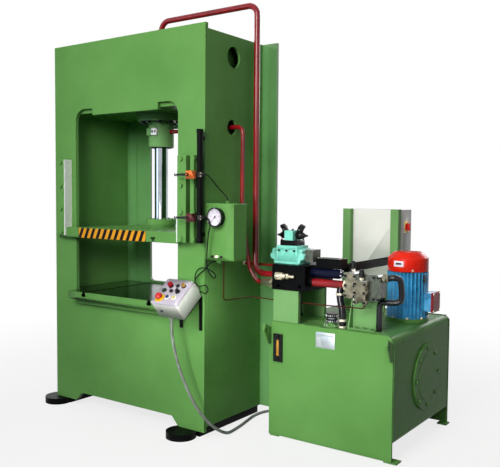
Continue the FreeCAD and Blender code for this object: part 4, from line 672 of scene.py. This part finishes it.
def screwTree():
    # a head with a chamfered rim and a recess: six sides make a hexagon bolt, more make a round head
    tree, given = startTree("screwHeads", {
        "Sides": "Int", "Height": "Float", "Chamfer": "Float", "Recess Width": "Float",
        "Recess Depth": "Float", "Seed": "Int", "Steel": "Material", "Recess": "Material"})
    disc = addNode(tree, "GeometryNodeMeshCircle", {"Vertices": given["Sides"], "Radius": 0.5},
                   fill_type="NGON")
    depth = addNode(tree, "ShaderNodeMath", {0: given["Recess Depth"], 1: -1.0}, operation="MULTIPLY")
    head, top = disc, True  # every step raises the top; two of them then draw it in
    for rise, narrow in ((given["Height"], None), (given["Chamfer"], 0.86), (0.0, given["Recess Width"]),
                         (depth, None)):
        step = addNode(tree, "GeometryNodeExtrudeMesh", {
            "Mesh": head, "Selection": top, "Offset Scale": rise, "Individual": False})
        head, top = step, step.outputs["Top"]
        if narrow is not None:
            head = addNode(tree, "GeometryNodeScaleElements", {
                "Geometry": step, "Selection": top, "Scale": narrow})
    either = addNode(tree, "FunctionNodeBooleanMath", {0: top, 1: step.outputs["Side"]}, operation="OR")
    marked = addNode(tree, "GeometryNodeStoreNamedAttribute", {
        "Geometry": head, "Name": "sunk", "Value": either}, data_type="BOOLEAN", domain="FACE")
    under = addNode(tree, "GeometryNodeFlipFaces", {0: disc})
    both = addNode(tree, "GeometryNodeJoinGeometry")
    tree.links.new(marked.outputs[0], both.inputs[0])
    tree.links.new(under.outputs[0], both.inputs[0])
    closed = addNode(tree, "GeometryNodeMergeByDistance", {"Geometry": both, "Distance": 0.001})
    facing, across, sunk = [
        addNode(tree, "GeometryNodeInputNamedAttribute", {"Name": label}, data_type=kind)
        for label, kind in (("facing", "FLOAT_VECTOR"), ("across", "FLOAT"), ("sunk", "BOOLEAN"))]
    turned = addNode(tree, "FunctionNodeAlignRotationToVector", {"Vector": facing}, axis="Z")
    chance = addNode(tree, "FunctionNodeRandomValue", {2: 0.0, 3: 2 * pi, "Seed": given["Seed"]},
                     data_type="FLOAT")
    spin = addNode(tree, "FunctionNodeAxisAngleToRotation", {"Axis": up, "Angle": chance})
    placed = addNode(tree, "FunctionNodeRotateRotation", {"Rotation": turned, "Rotate By": spin},
                     rotation_space="LOCAL")
    heads = addNode(tree, "GeometryNodeInstanceOnPoints", {
        "Points": given["Geometry"], "Instance": closed, "Rotation": placed, "Scale": across})
    steel = withFinish(tree, heads, given["Steel"])
    done = addNode(tree, "GeometryNodeSetMaterial", {
        "Geometry": steel, "Selection": sunk, "Material": given["Recess"]})
    addNode(tree, "NodeGroupOutput", {0: done})
    return tree


def beadTree():
    # a bead along a line: its width swells and shrinks at every ripple, and a little by chance
    tree, given = startTree("rippledBead", {
        "Width": "Float", "Pitch": "Float", "Ripple": "Float", "Unevenness": "Float", "Sides": "Int",
        "Seed": "Int", "Finish": "Material"})
    lines = addNode(tree, "GeometryNodeMeshToCurve", {"Mesh": given["Geometry"]})
    steps = addNode(tree, "GeometryNodeResampleCurve", {"Curve": lines, "Length": given["Pitch"]},
                    mode="LENGTH")
    index = addNode(tree, "GeometryNodeInputIndex")
    parity = addNode(tree, "ShaderNodeMath", {0: index, 1: 2.0}, operation="MODULO")
    dip = addNode(tree, "ShaderNodeMath", {0: parity, 1: given["Ripple"]}, operation="MULTIPLY")
    chance = addNode(tree, "FunctionNodeRandomValue", {2: 0.0, 3: 1.0, "Seed": given["Seed"]},
                     data_type="FLOAT")
    sway = addNode(tree, "ShaderNodeMath", {0: chance, 1: given["Unevenness"], 2: dip},
                   operation="MULTIPLY_ADD")
    size = addNode(tree, "ShaderNodeMath", {0: 1.0, 1: sway}, operation="SUBTRACT")
    half = addNode(tree, "ShaderNodeMath", {0: given["Width"], 1: 0.5}, operation="MULTIPLY")
    ring = addNode(tree, "GeometryNodeCurvePrimitiveCircle", {"Resolution": given["Sides"], "Radius": half})
    bead = addNode(tree, "GeometryNodeCurveToMesh", {
        "Curve": steps, "Profile Curve": ring, "Scale": size, "Fill Caps": True})
    addNode(tree, "NodeGroupOutput", {0: withFinish(tree, bead, given["Finish"])})
    return tree


def barTree():
    # a small bar with a drawn-in top: ticks, knurls, terminals and grille ribs
    tree, given = startTree("taperedBars", {"Taper": "Float", "Finish": "Material"})
    cube = addNode(tree, "GeometryNodeMeshCube", {"Size": (1, 1, 1)})
    normal = addNode(tree, "GeometryNodeInputNormal")
    parts = addNode(tree, "ShaderNodeSeparateXYZ", {0: normal})
    top = addNode(tree, "ShaderNodeMath", {0: parts.outputs["Z"], 1: 0.5}, operation="GREATER_THAN")
    drawn = addNode(tree, "GeometryNodeScaleElements", {
        "Geometry": cube, "Selection": top, "Scale": given["Taper"]})
    facing, along, size = [
        addNode(tree, "GeometryNodeInputNamedAttribute", {"Name": label}, data_type="FLOAT_VECTOR")
        for label in ("facing", "along", "size")]
    upright = addNode(tree, "FunctionNodeAlignRotationToVector", {"Vector": facing}, axis="Z")
    turned = addNode(tree, "FunctionNodeAlignRotationToVector", {"Rotation": upright, "Vector": along},
                     axis="X", pivot_axis="Z")
    bars = addNode(tree, "GeometryNodeInstanceOnPoints", {
        "Points": given["Geometry"], "Instance": drawn, "Rotation": turned, "Scale": size})
    addNode(tree, "NodeGroupOutput", {0: withFinish(tree, bars, given["Finish"])})
    return tree


screws, beads, bars = screwTree(), beadTree(), barTree()
hexBolt = {"Sides": 6, "Height": 0.55, "Chamfer": 0.07, "Recess Width": 0.9, "Recess Depth": 0.0}
socketCap = {"Sides": 14, "Height": 0.85, "Chamfer": 0.08, "Recess Width": 0.6, "Recess Depth": 0.4}
panHead = {"Sides": 12, "Height": 0.2, "Chamfer": 0.14, "Recess Width": 0.45, "Recess Depth": 0.16}


def circlePlaces(centre, radius, count, facing, first=0):
    # evenly spaced places on a circle round facing, with the outward direction of each
    turn = Vector(facing).to_track_quat("Z", "Y").to_matrix()
    rows = []
    for step in range(count):
        angle = radians(first) + 2 * pi * step / count
        outward = turn @ Vector((cos(angle), sin(angle), 0))
        rows.append((Vector(centre) + outward * radius, outward))
    return rows


def gridPlaces(xs, ys, zs):
    # the same kind of rows for the corners of a grid
    return [((x, y, z), None) for x in xs for y in ys for z in zs]


def screwSet(name, seed, kind, rows, facing, across, steel, recess="blackOxide"):
    # without a facing, each screw looks outwards from its circle
    points = [(place, {"facing": Vector(facing or outward), "across": across}) for place, outward in rows]
    values = dict(kind, Seed=seed, Steel=finishes[steel], Recess=finishes[recess])
    grown(name, screws, points, values, "frame")


def barSet(name, rows, finish, body="frame", taper=0.8):
    # rows are (place, facing, along, size)
    points = [(place, {"facing": Vector(facing), "along": Vector(along), "size": size})
              for place, facing, along, size in rows]
    grown(name, bars, points, {"Taper": taper, "Finish": finishes[finish]}, body, smoothTo=20)


motorAxis, fillerAxis = (1533, 848), (1270, 395)
lidScrews = [(onLid(x, y, -0.4), None) for y in (8, 184) for x in (8, 187)]
screwSet("pendant_screws", 1, panHead, lidScrews, lidOut, 9, "bright_steel")
screwSet("valve_sockets", 2, socketCap, gridPlaces((921, 975, 1029), (367,), (1100,)), front, 10.5,
         "blackOxide")
screwSet("pilot_screws", 3, socketCap, gridPlaces((955, 997), (393, 467), (1217.6,)), up, 9, "blackOxide")
screwSet("pilot_base_screws", 4, socketCap, gridPlaces((926, 1026), (389, 471), (1159.6,)), up, 10,
         "blackOxide")
screwSet("rail_clamp_screws", 5, hexBolt, gridPlaces((614, 677), (-68.4,), (1288, 1304, 1530, 1546)),
         front, 9, "zinc_plate")
screwSet("terminal_screws", 6, panHead, gridPlaces((1711.6,), (801, 899), (758, 856)), right, 9, "zinc_plate")
screwSet("cowl_screws", 7, panHead, circlePlaces((*motorAxis, 992), 120, 4, up, 35), None, 12, "zinc_plate")
screwSet("relief_block_screws", 8, socketCap, gridPlaces((1552, 1578), (340.5,), (868, 986)), front, 13,
         "blackOxide")
screwSet("motor_foot_bolts", 9, hexBolt, circlePlaces((*motorAxis, 704.6), 115, 8, up, 22), up, 17,
         "zinc_plate")
screwSet("isolator_screws", 10, panHead, gridPlaces((1336.6,), (1266, 1318), (1188, 1254)), right, 7,
         "zinc_plate")
screwSet("junction_screws", 11, panHead, gridPlaces((1174, 1314), (394, 461), (1065.7,)), up, 9, "zinc_plate")
screwSet("gauge_box_screws", 12, panHead, gridPlaces((664, 846), (-0.3,), (1070, 1364)), front, 10,
         "green_paint", "green_paint")
screwSet("filter_flange_bolts", 13, socketCap, circlePlaces((1329.6, 390, 982), 20, 6, right, 15), right, 9,
         "bright_steel")
print("bolts and screws made")

# Weld beads are left as laid and painted over. A line of more than two points closes into a ring.
bead = {"Width": 7.0, "Pitch": 5.0, "Ripple": 0.16, "Unevenness": 0.16, "Sides": 7}
weldLines = {
    "column_welds": [[(651, 570.5, 80), (651, 570.5, 1940)], [(651, 570.5, 2010), (651, 570.5, 2320)],
                     [(-544, 570.5, 760), (-544, 570.5, 1940)], [(544, 570.5, 760), (544, 570.5, 1940)],
                     [(-651, 570.5, 80), (-651, 570.5, 2320)], [(635, 25.5, 90), (635, 25.5, 700)],
                     [(-530, 560, 1950), (530, 560, 1950)]],
    "rear_plate_weld": [[(-451, 570.5, 760), (-451, 570.5, 1940)]],
    "tank_end_welds": [[(921, 316, 684), (1236, 316, 684)], [(1304, 316, 684), (1668, 316, 684)],
                       [(921, 1145, 684), (1668, 1145, 684)], [(1686.5, 316, 120), (1686.5, 316, 664)],
                       [(1686.5, 1145, 120), (1686.5, 1145, 664)]],
    "stand_welds": [[(919, 315.5, 684), (1090, 315.5, 684)], [(919, 621.5, 684), (1090, 621.5, 684)],
                    [(1385, 359.5, 684), (1590, 359.5, 684)],
                    [(927, 1203, 300), (982, 1203, 300)], [(1275, 1203, 300), (1330, 1203, 300)]],
    "slide_boss_weld": [[tuple(place) for place, outward in circlePlaces((0, 342, 1205.5), 100, 40, up)]]}
for seed, (name, lines) in enumerate(weldLines.items()):
    points, edges = [], []
    for line in lines:
        start = len(points)
        points += [(place, {}) for place in line]
        edges += [(start + k, start + k + 1) for k in range(len(line) - 1)]
        if len(line) > 2:
            edges.append((len(points) - 1, start))
    grown(name, beads, points, dict(bead, Seed=seed, Finish=finishes["green_paint"]),
          "moving_platen" if "boss" in name else "frame", edges, smoothTo=60)
print("weld beads laid")


# Pressure gauge: marks, plain numbers, glass and bezel screws.
gauge = {"centre": Vector((747, -28.1, 1300)), "from": 225, "sweep": 270, "steps": 50, "perNumber": 10,
         "reach": 45.5, "longMark": (8, 1.4, 0.5), "shortMark": (4.5, 0.7, 0.5), "numberReach": 30,
         "numberSize": 8.5, "numberDepth": 0.1, "glass": 49.5, "bezel": 52}
marks = []
numbers = bmesh.new()
for step in range(gauge["steps"] + 1):
    angle = radians(gauge["from"] - gauge["sweep"] * step / gauge["steps"])
    ray = Vector((cos(angle), 0, sin(angle)))
    long = step % gauge["perNumber"] == 0
    mark = gauge["longMark"] if long else gauge["shortMark"]
    marks.append((gauge["centre"] + ray * (gauge["reach"] - mark[0] / 2), front, ray, mark))
    if long:
        figure = str(step // 2)
        letters = bpy.data.curves.new("figure_" + figure, "FONT")
        letters.body = figure
        letters.size = gauge["numberSize"]
        letters.extrude = gauge["numberDepth"]
        letters.align_x = "CENTER"
        letters.align_y = "CENTER"
        mesh = meshOf(linked("figure_" + figure, letters))
        place = gauge["centre"] + ray * gauge["numberReach"]
        mesh.transform(Matrix.Translation(place) @ Matrix.Rotation(radians(90), 4, "X"))
        numbers.from_mesh(mesh)
        bpy.data.meshes.remove(mesh)
bmesh.ops.remove_doubles(numbers, verts=numbers.verts, dist=0.01)
barSet("gauge_marks", marks, "dialInk", taper=1)
keepShape("gauge_figures", numbers, ["dialInk"])
assembled("gauge_glass", ["clearCover"], [
    (lathe, (747, -34.2, 1300), front, [(0, 0), (gauge["glass"], 0), (gauge["glass"], 1.2), (0, 1.6)], 48)])
screwSet("gauge_bezel_screws", 14, panHead, circlePlaces((747, -35.8, 1300), gauge["bezel"], 3, front, 90),
         front, 5, "bright_steel")

# Rating plate: a pale sheet with one dark field, a strip and five short bars.
ratingPlate = {"low": (1216, 302.8, 569), "high": (1338, 304.4, 658), "lines": (582, 592, 602, 612, 622)}
assembled("rating_plate", ["platePale", "blankField", "shellGrey"], [
    (block, ratingPlate["low"], ratingPlate["high"], 0.5, 0),
    (block, (1256, 302.4, 574), (1333, 303, 633), 0.15, 1),
    (block, (1222, 302.4, 638), (1333, 303, 652), 0.15, 2)] + [
    (block, (1222, 302.5, level), (1251, 303, level + 2.5), 0, 2) for level in ratingPlate["lines"]])
screwSet("rating_plate_rivets", 15, panHead, gridPlaces((1220, 1334), (302.9,), (573, 654)), front, 5,
         "bright_steel")


# Motor: a cowl with a deep shoulder and a ribbed grille, its label, a lifting lug and a cable gland.
def wrapped(shape, low, high, spread, inner, outer, look):
    # a thin plate bent round the cowl, spread degrees to both sides of its middle
    columns = []
    for step in range(11):
        angle = radians(cowl["labelMiddle"] - spread + 2 * spread * step / 10)
        ray = Vector((cos(angle), sin(angle), 0))
        columns.append([shape.verts.new(Vector((*motorAxis, 0)) + ray * reach + Vector((0, 0, level)))
                        for reach, level in ((inner, low), (outer, low), (outer, high), (inner, high))])
    skin(shape, columns, look)


cowl = {"ribs": 28, "hub": 22, "mouth": 82, "labelMiddle": -95}
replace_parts(assembled("fan_cowl", ["red_cowl_paint", "dialWhite", "dialInk"], [
    (lathe, (*motorAxis, 0), up, [
        (0, 1089), (cowl["mouth"] - 2, 1089), (117.5, 1057), (117.5, 982), (120, 982), (120, 1060),
        (117, 1063), (cowl["mouth"] + 3, 1092), (cowl["mouth"], 1094), (cowl["mouth"] - 4, 1091.5),
        (0, 1091.5)], 64),
    (wrapped, 1012, 1046, 15, 119, 120.4, 1),
    (wrapped, 1024, 1034, 8.5, 119.5, 120.7, 2)]), "fan_cover")
ribPlaces = circlePlaces((*motorAxis, 1092.4), (cowl["mouth"] + cowl["hub"]) / 2, cowl["ribs"], up)
barSet("cowl_grille", [
    (place, up, outward, (cowl["mouth"] - cowl["hub"] - 8, 3.2, 3.6)) for place, outward in ribPlaces],
    "red_cowl_paint", taper=0.6)
assembled("motor_lug_and_gland", ["black_plastic", "blue_paint"], [
    (block, (1640, 801, 924), (1658, 816, 962), 3, 0),
    (lathe, (1668, 793, 838), front, [(0, 0), (11, 0), (11, 7), (8, 8), (8, 12), (5, 13), (0, 13)], 12, 1)])

# Pilot valve: the coils' shells draw in to a point, and their plugs lean outwards.
pilot = {"left": 947, "right": 1005, "baseTop": 1161, "y": 430, "z": 1189, "coil": 23,
         "reach": 79, "radius": 22, "lean": 24, "plug": 26}
shape = shapeOf("pilot_valve")
middle = Vector((pilot["y"], pilot["z"]))
coils = [face for face in shape.faces if face.calc_center_median().z > pilot["baseTop"] and (
    any(not pilot["left"] - 0.1 <= vertex.co.x <= pilot["right"] + 0.1 for vertex in face.verts)
    or all((vertex.co.yz - middle).length < pilot["coil"] for vertex in face.verts))]
bmesh.ops.delete(shape, geom=coils, context="FACES")
for face in shape.faces:
    face.material_index = 1 if face.calc_center_median().z > pilot["baseTop"] - 0.5 else 0
for side, start in ((-1, pilot["left"]), (1, pilot["right"])):
    y = pilot["y"]
    lathe(shape, (start, y, pilot["z"]), (side, 0, 0), [
        (0, -1), (20, -1), (20, 2), (pilot["radius"], 3), (pilot["radius"], 40), (17, 43), (17, 47), (14, 50),
        (9, 61), (7, 63), (7, 70), (4, 76), (0, pilot["reach"])], 20, 0)
    lean = Matrix.Rotation(radians(side * pilot["lean"]), 4, "Y")
    plug = start + side * pilot["plug"]
    head = plug + side * 13
    block(shape, (plug - 15, y - 14, 1206), (plug + 15, y + 14, 1244), 3, 0, lean)
    block(shape, (head - 14, y - 13, 1234), (head + 14, y + 13, 1252), 3, 0, lean)
    lathe(shape, (plug, y - 15.5, 1222), front, [(0, 0), (5, 0), (5, 3), (0, 3)], 12, 2)
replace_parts(keepShape("pilot_valve_dressed", shape, ["black_plastic", "turquoise_paint", "bright_steel"]),
            "pilot_valve")


# Pipes: steel tube bent cold, and a thick suction pipe with clamped ends.
def pipe(name, points, width, look):
    # the corners turn on short arcs, and the caps are joined to the wall
    tube = meshOf(tubeCurve(name, points, width, 6, 4))
    shape = bmesh.new()
    shape.from_mesh(tube)
    bpy.data.meshes.remove(tube)
    bmesh.ops.remove_doubles(shape, verts=shape.verts, dist=0.01)
    return keepShape(name, shape, [look])


pipe("suction_pipe", [
    (1352, 367, 684), (1352, 367, 720), (1351, 367, 760), (1346, 367, 800), (1334, 368, 840),
    (1330, 370, 880), (1334, 372, 915)], 40, "black_pipe_paint")
loopPipe = pipe("loop_pipe", [
    (1586, 375, 979), (1620, 375, 984), (1655, 378, 990), (1680, 394, 980), (1682, 406, 940),
    (1682, 414, 895), (1678, 416, 858), (1650, 410, 848), (1600, 405, 846), (1560, 405, 844),
    (1556, 405, 800), (1556, 405, 684)], 33, "black_pipe_paint")
pipe("drain_pipe", [(945, 585, 684), (945, 585, 780), (945, 585, 874)], 18, "black_pipe_paint")
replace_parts(loopPipe, "black_pipes")
clamps = []
for x, y, z in ((1352, 367, 684), (1352, 367, 722), (1331, 370, 868)):
    clamps += [(lathe, (x, y, z), up, [(0, 0), (22, 0), (23, 1), (23, 12), (22, 13), (0, 13)], 28, 0),
               (block, (x - 6, y - 31, z + 1), (x + 6, y - 21, z + 12), 1, 0)]
assembled("pipe_clamps", ["zinc_plate"], clamps)

# Each union nut has a hexagon and a round collar; the rows give place, facing, radius and finish.
nuts = []
for start, facing, radius, look in (
        ((1133, 372, 927), right, 30, 0), ((1357, 372, 927), right, 30, 1),
        ((651, 384, 1006), right, 13, 1), ((897, 384, 1006), right, 13, 1),
        ((945, 585, 684), up, 15, 0), ((945, 585, 858), up, 15, 1)):
    length = radius * 0.6
    nuts += [
        (lathe, start, facing, [
            (0, 0), (radius * 0.9, 0), (radius, radius * 0.1), (radius, length - radius * 0.1),
            (radius * 0.9, length), (0, length)], 6, look),
        (lathe, Vector(start) + Vector(facing) * length, facing, [
            (0, 0), (radius * 0.84, 0), (radius * 0.84, radius * 0.2), (radius * 0.7, radius * 0.3),
            (0, radius * 0.3)], 24, look)]
assembled("union_nuts", ["blackened_steel", "zinc_plate"], nuts)
assembled("loop_elbow", ["greyIron"], [
    (lathe, (1589.5, 375, 979.5), (1, 0, 0.12), [
        (0, 0), (21, 0), (22, 1), (22, 12), (20, 14), (20, 30), (18.5, 33), (0, 33)], 24, 0),
    (lathe, (1606, 350, 978), (0.2, -0.98, 0), [(0, 0), (9, 0), (9, 9), (6, 10), (6, 14), (0, 14)], 12, 0)])

# Filler cap: two knurled grips, whose bright steel knurls paint the highlights on the dark cap, and a bright
# band between them.
filler = {"grips": ((706.5, 719.5), (738.5, 750)), "radius": 36.2, "knurls": 18}
barSet("filler_cap_knurl_highlights", [
    (place, outward, up, (high - low, 5.5, 2.4)) for low, high in filler["grips"] for place, outward in
    circlePlaces((*fillerAxis, (low + high) / 2), filler["radius"], filler["knurls"], up)],
    "bright_steel", "filler_cap", 0.6)
assembled("filler_cap_band", ["hard_chrome"], [
    (lathe, (*fillerAxis, 725.5), up, [
        (0, 0), (32.5, 0), (33.4, 0.6), (33.4, 6.4), (32.5, 7), (0, 7)], 32, 0)], "filler_cap")
assembled("filler_flange", ["paleGreenPaintedLight"], [
    (lathe, (*fillerAxis, 683), up, [(32, 0), (52, 0), (53, 1), (53, 5), (52, 6), (34, 6), (32, 8)], 40, 0)])
screwSet("filler_flange_screws", 21, socketCap, circlePlaces((*fillerAxis, 688.8), 44, 6, up, 15), up, 8,
         "bright_steel")

# Relief valves: knurled knobs over bright lock nuts, and ears that hold their bodies.
for letter, (x, y, low) in (("a", (1408, 377, 1024)), ("b", (1487.5, 320, 987))):
    barSet("relief_knob_" + letter + "_knurls", [
        (place, outward, up, (30, 1.6, 1.4))
        for place, outward in circlePlaces((x, y, low + 18), 13, 22, up)],
        "black_plastic", "relief_knob_" + letter, 0.5)
screwSet("relief_lock_nuts", 22, dict(hexBolt, Height=0.36), [
    ((1408, 377, 1010), None), ((1487.5, 320, 972), None)], up, 24, "zinc_plate")
earPlaces = [(x, 345, z) for x in (1378, 1434) for z in (873, 930, 984)]
earPlaces += [(x, 300, z) for x in (1459, 1516) for z in (850, 902, 950)]
assembled("relief_ears", ["greyIron"], [
    (lathe, (x, y + 30, z), front, [(0, 0), (13, 0), (13, 29), (12, 31), (0, 31)], 16, 0)
    for x, y, z in earPlaces])
screwSet("relief_body_screws", 23, socketCap, [((x, y - 0.8, z), None) for x, y, z in earPlaces], front, 13,
         "blackOxide")

# Level gauge: a clear cover over a column of oil.
assembled("level_gauge_window", ["oilColumn", "clearCover"], [
    (block, (956, 293, 486), (974, 297.6, 580), 0.8, 1),
    (block, (956.5, 297.8, 486), (973.5, 298.6, 545), 0, 0)])

# Cylinder: a white port plate with two ports, and a wiper ring round the rod.
ports = [(lathe, (x, 249.4, 1834), front, [(0, 0), (8, 0), (8, 1), (6, 1.6), (0, 1.6)], 18, 1)
         for x in (6, 28)]
assembled("port_plate", ["whitePlastic", "black_plastic"], [
    (block, (-6, 249, 1811), (40, 280, 1857), 2, 0)] + ports)
assembled("wiper_ring", ["black_plastic"], [
    (lathe, (0, layout["ramDepth"], 1729.5), up, [
        (61.5, 0), (72, 0), (76, 2), (76, 6), (61.5, 6), (60.8, 3)], 48, 0)])

# Push-button box: a blanking plug in its front.
assembled("pendant_plug", ["black_plastic"], [
    (lathe, onLid(51, 1.2, -66), -lidUp, [(0, 0), (10, 0), (10, 2.4), (8, 3.4), (0, 3.4)], 20, 0)])

# Inside the electrical cabinet: a mounting plate with rails, ducts, contactors, breakers and terminals.
inside = {"left": 950, "right": 1290, "back": 1218, "rails": (1180, 1000, 830), "ducts": (1265, 1090, 910),
          "contactors": (984, 1046, 1108), "breakers": 12, "breakerPitch": 18.2, "terminals": 30,
          "terminalPitch": 8.4}
left, back = inside["left"], inside["back"]
fitted = [(block, (left, back, 760), (inside["right"], back + 3, 1300), 0.5, 0)]
for inset, half, depth, soft, look, levels in ((12, 17, 10, 0.6, 1, inside["rails"]),
                                               (8, 18, 55, 1, 2, inside["ducts"])):
    fitted += [(block, (left + inset, back + 3, level - half),
                (inside["right"] - inset, back + depth, level + half), soft, look) for level in levels]
for x in inside["contactors"]:
    fitted += [(block, (x, back + 10, 1142), (x + 50, back + 82, 1218), 3, 3),
               (block, (x + 8, back + 82, 1156), (x + 42, back + 92, 1204), 2, 4)]
fitted += [(block, (1150, back + 10, 1130), (1250, back + 78, 1228), 3, 4)]
assembled("cabinet_inside", ["zinc_plate", "bright_steel", "shellGrey", "black_plastic", "lidGrey"], fitted)
barSet("cabinet_breakers", [
    ((left + 40 + inside["breakerPitch"] * k, back + 42, 1000), (0, 1, 0), up, (84, 17.4, 64))
    for k in range(inside["breakers"])], "lidGrey", taper=0.92)
barSet("cabinet_terminals", [
    ((left + 32 + inside["terminalPitch"] * k, back + 32, 830), (0, 1, 0), up, (48, 7.8, 44))
    for k in range(inside["terminals"])], "conduit_grey", taper=0.9)
print("valves, pipes, caps and cabinet fitted out")


def directRays(tree):
    # one for rays that show a thing or mirror it, none for those that only light the press with it
    rays = addNode(tree, "ShaderNodeLightPath")
    seen = addNode(tree, "ShaderNodeMath", {
        0: rays.outputs["Is Camera Ray"], 1: rays.outputs["Is Glossy Ray"]}, operation="MAXIMUM")
    return addNode(tree, "ShaderNodeMath", {0: seen, 1: rays.outputs["Is Transmission Ray"]},
                   operation="MAXIMUM")


# The floor is pale where it's seen, and white further off, so that it runs into the background; the
# light that it throws back onto the press is darker. Places and reaches are metres here.
studio = {"reach": 40, "ambient": 0.15, "floorDark": "404040", "floorPale": "e2e2e0", "near": 0.78,
          "nearReach": 1.2, "farReach": 4.5, "middle": (0.4, 0.2)}
low = cadBox[0].z
reach = studio["reach"]
floorMesh = bpy.data.meshes.new("floor")
floorMesh.from_pydata([(-reach, -reach, low), (reach, -reach, low), (reach, reach, low),
                       (-reach, reach, low)], [], [(0, 1, 2, 3)])
linked("floor", floorMesh)
floorFinish = bpy.data.materials.new("plainPaleFloor")
tree = emptyTree(floorFinish)
shown = directRays(tree)
spot = addNode(tree, "ShaderNodeTexCoord")
away = addNode(tree, "ShaderNodeVectorMath", {
    0: spot.outputs["Object"], 1: (*studio["middle"], low)}, operation="DISTANCE")
whiteShare = addNode(tree, "ShaderNodeMapRange", {
    "Value": away, "From Min": studio["nearReach"], "From Max": studio["farReach"],
    "To Min": studio["near"], "To Max": 1.0}, interpolation_type="SMOOTHSTEP")
glowShare = addNode(tree, "ShaderNodeMath", {0: shown, 1: whiteShare}, operation="MULTIPLY")
tone = addNode(tree, "ShaderNodeMix", {0: shown, 6: studio["floorDark"], 7: studio["floorPale"]},
               data_type="RGBA")
matte = addNode(tree, "ShaderNodeBsdfDiffuse", {"Color": tone})
glow = addNode(tree, "ShaderNodeEmission", {"Color": "ffffff"})
both = addNode(tree, "ShaderNodeMixShader", {0: glowShare, 1: matte, 2: glow})
addNode(tree, "ShaderNodeOutputMaterial", {"Surface": both})
floorMesh.materials.append(floorFinish)

world = bpy.data.worlds.new("studio")
bpy.context.scene.world = world
tree = emptyTree(world)
level = addNode(tree, "ShaderNodeMapRange", {
    "Value": directRays(tree), "To Min": studio["ambient"], "To Max": 1.0})
sky = addNode(tree, "ShaderNodeBackground", {"Color": "ffffff", "Strength": level})
addNode(tree, "ShaderNodeOutputWorld", {"Surface": sky})

softLights = {
    "key": {"place": (1.1, -4.2, 2.5), "target": (0.3, 0, 1.0), "size": (2.2, 2.0), "power": 76,
            "colour": "fffdfa", "spread": 110},
    "low": {"place": (1.4, -3.7, 0.1), "target": (1.3, 0, -0.3), "size": (1.2, 0.8), "power": 7,
            "colour": "fffefc", "spread": 50},
    "side": {"place": (2.5, -1.8, 0.6), "target": (0.6, -0.45, 0.05), "size": (0.3, 0.3), "power": 0.4,
             "colour": "fffefc", "spread": 14},
    "fill": {"place": (3.6, -2.0, 1.6), "target": (0.6, 0.0, 0.4), "size": (1.4, 1.4), "power": 11,
             "colour": "fbfdff", "spread": 180},
    "window": {"place": (-2.9, -4.8, 1.0), "target": (-0.1, 0.2, 0.8), "size": (2.6, 1.6), "power": 34,
               "colour": "c4dcff", "spread": 180},
    "back": {"place": (1.4, 5.4, 2.6), "target": (0.4, 0.4, 0.2), "size": (2.8, 2.2), "power": 120,
             "colour": "fdfdff", "spread": 180},
    "left": {"place": (-4.8, 1.4, 2.0), "target": (-0.5, 0.2, 0.3), "size": (2.2, 2.0), "power": 70,
             "colour": "f6faff", "spread": 180}}
for name, lamp in softLights.items():
    data = bpy.data.lights.new(name, "AREA")
    data.shape = "RECTANGLE"
    data.size, data.size_y = lamp["size"]
    data.energy = lamp["power"]
    data.spread = radians(lamp["spread"])
    data.color = linearColour(lamp["colour"])[:3]
    piece = linked(name, data)
    piece.location = lamp["place"]
    aim = Vector(lamp["target"]) - Vector(lamp["place"])
    piece.rotation_euler = aim.to_track_quat("-Z", "Y").to_euler()
bpy.context.scene.view_settings.view_transform = "Standard"
print("floor and light set")

print("done")
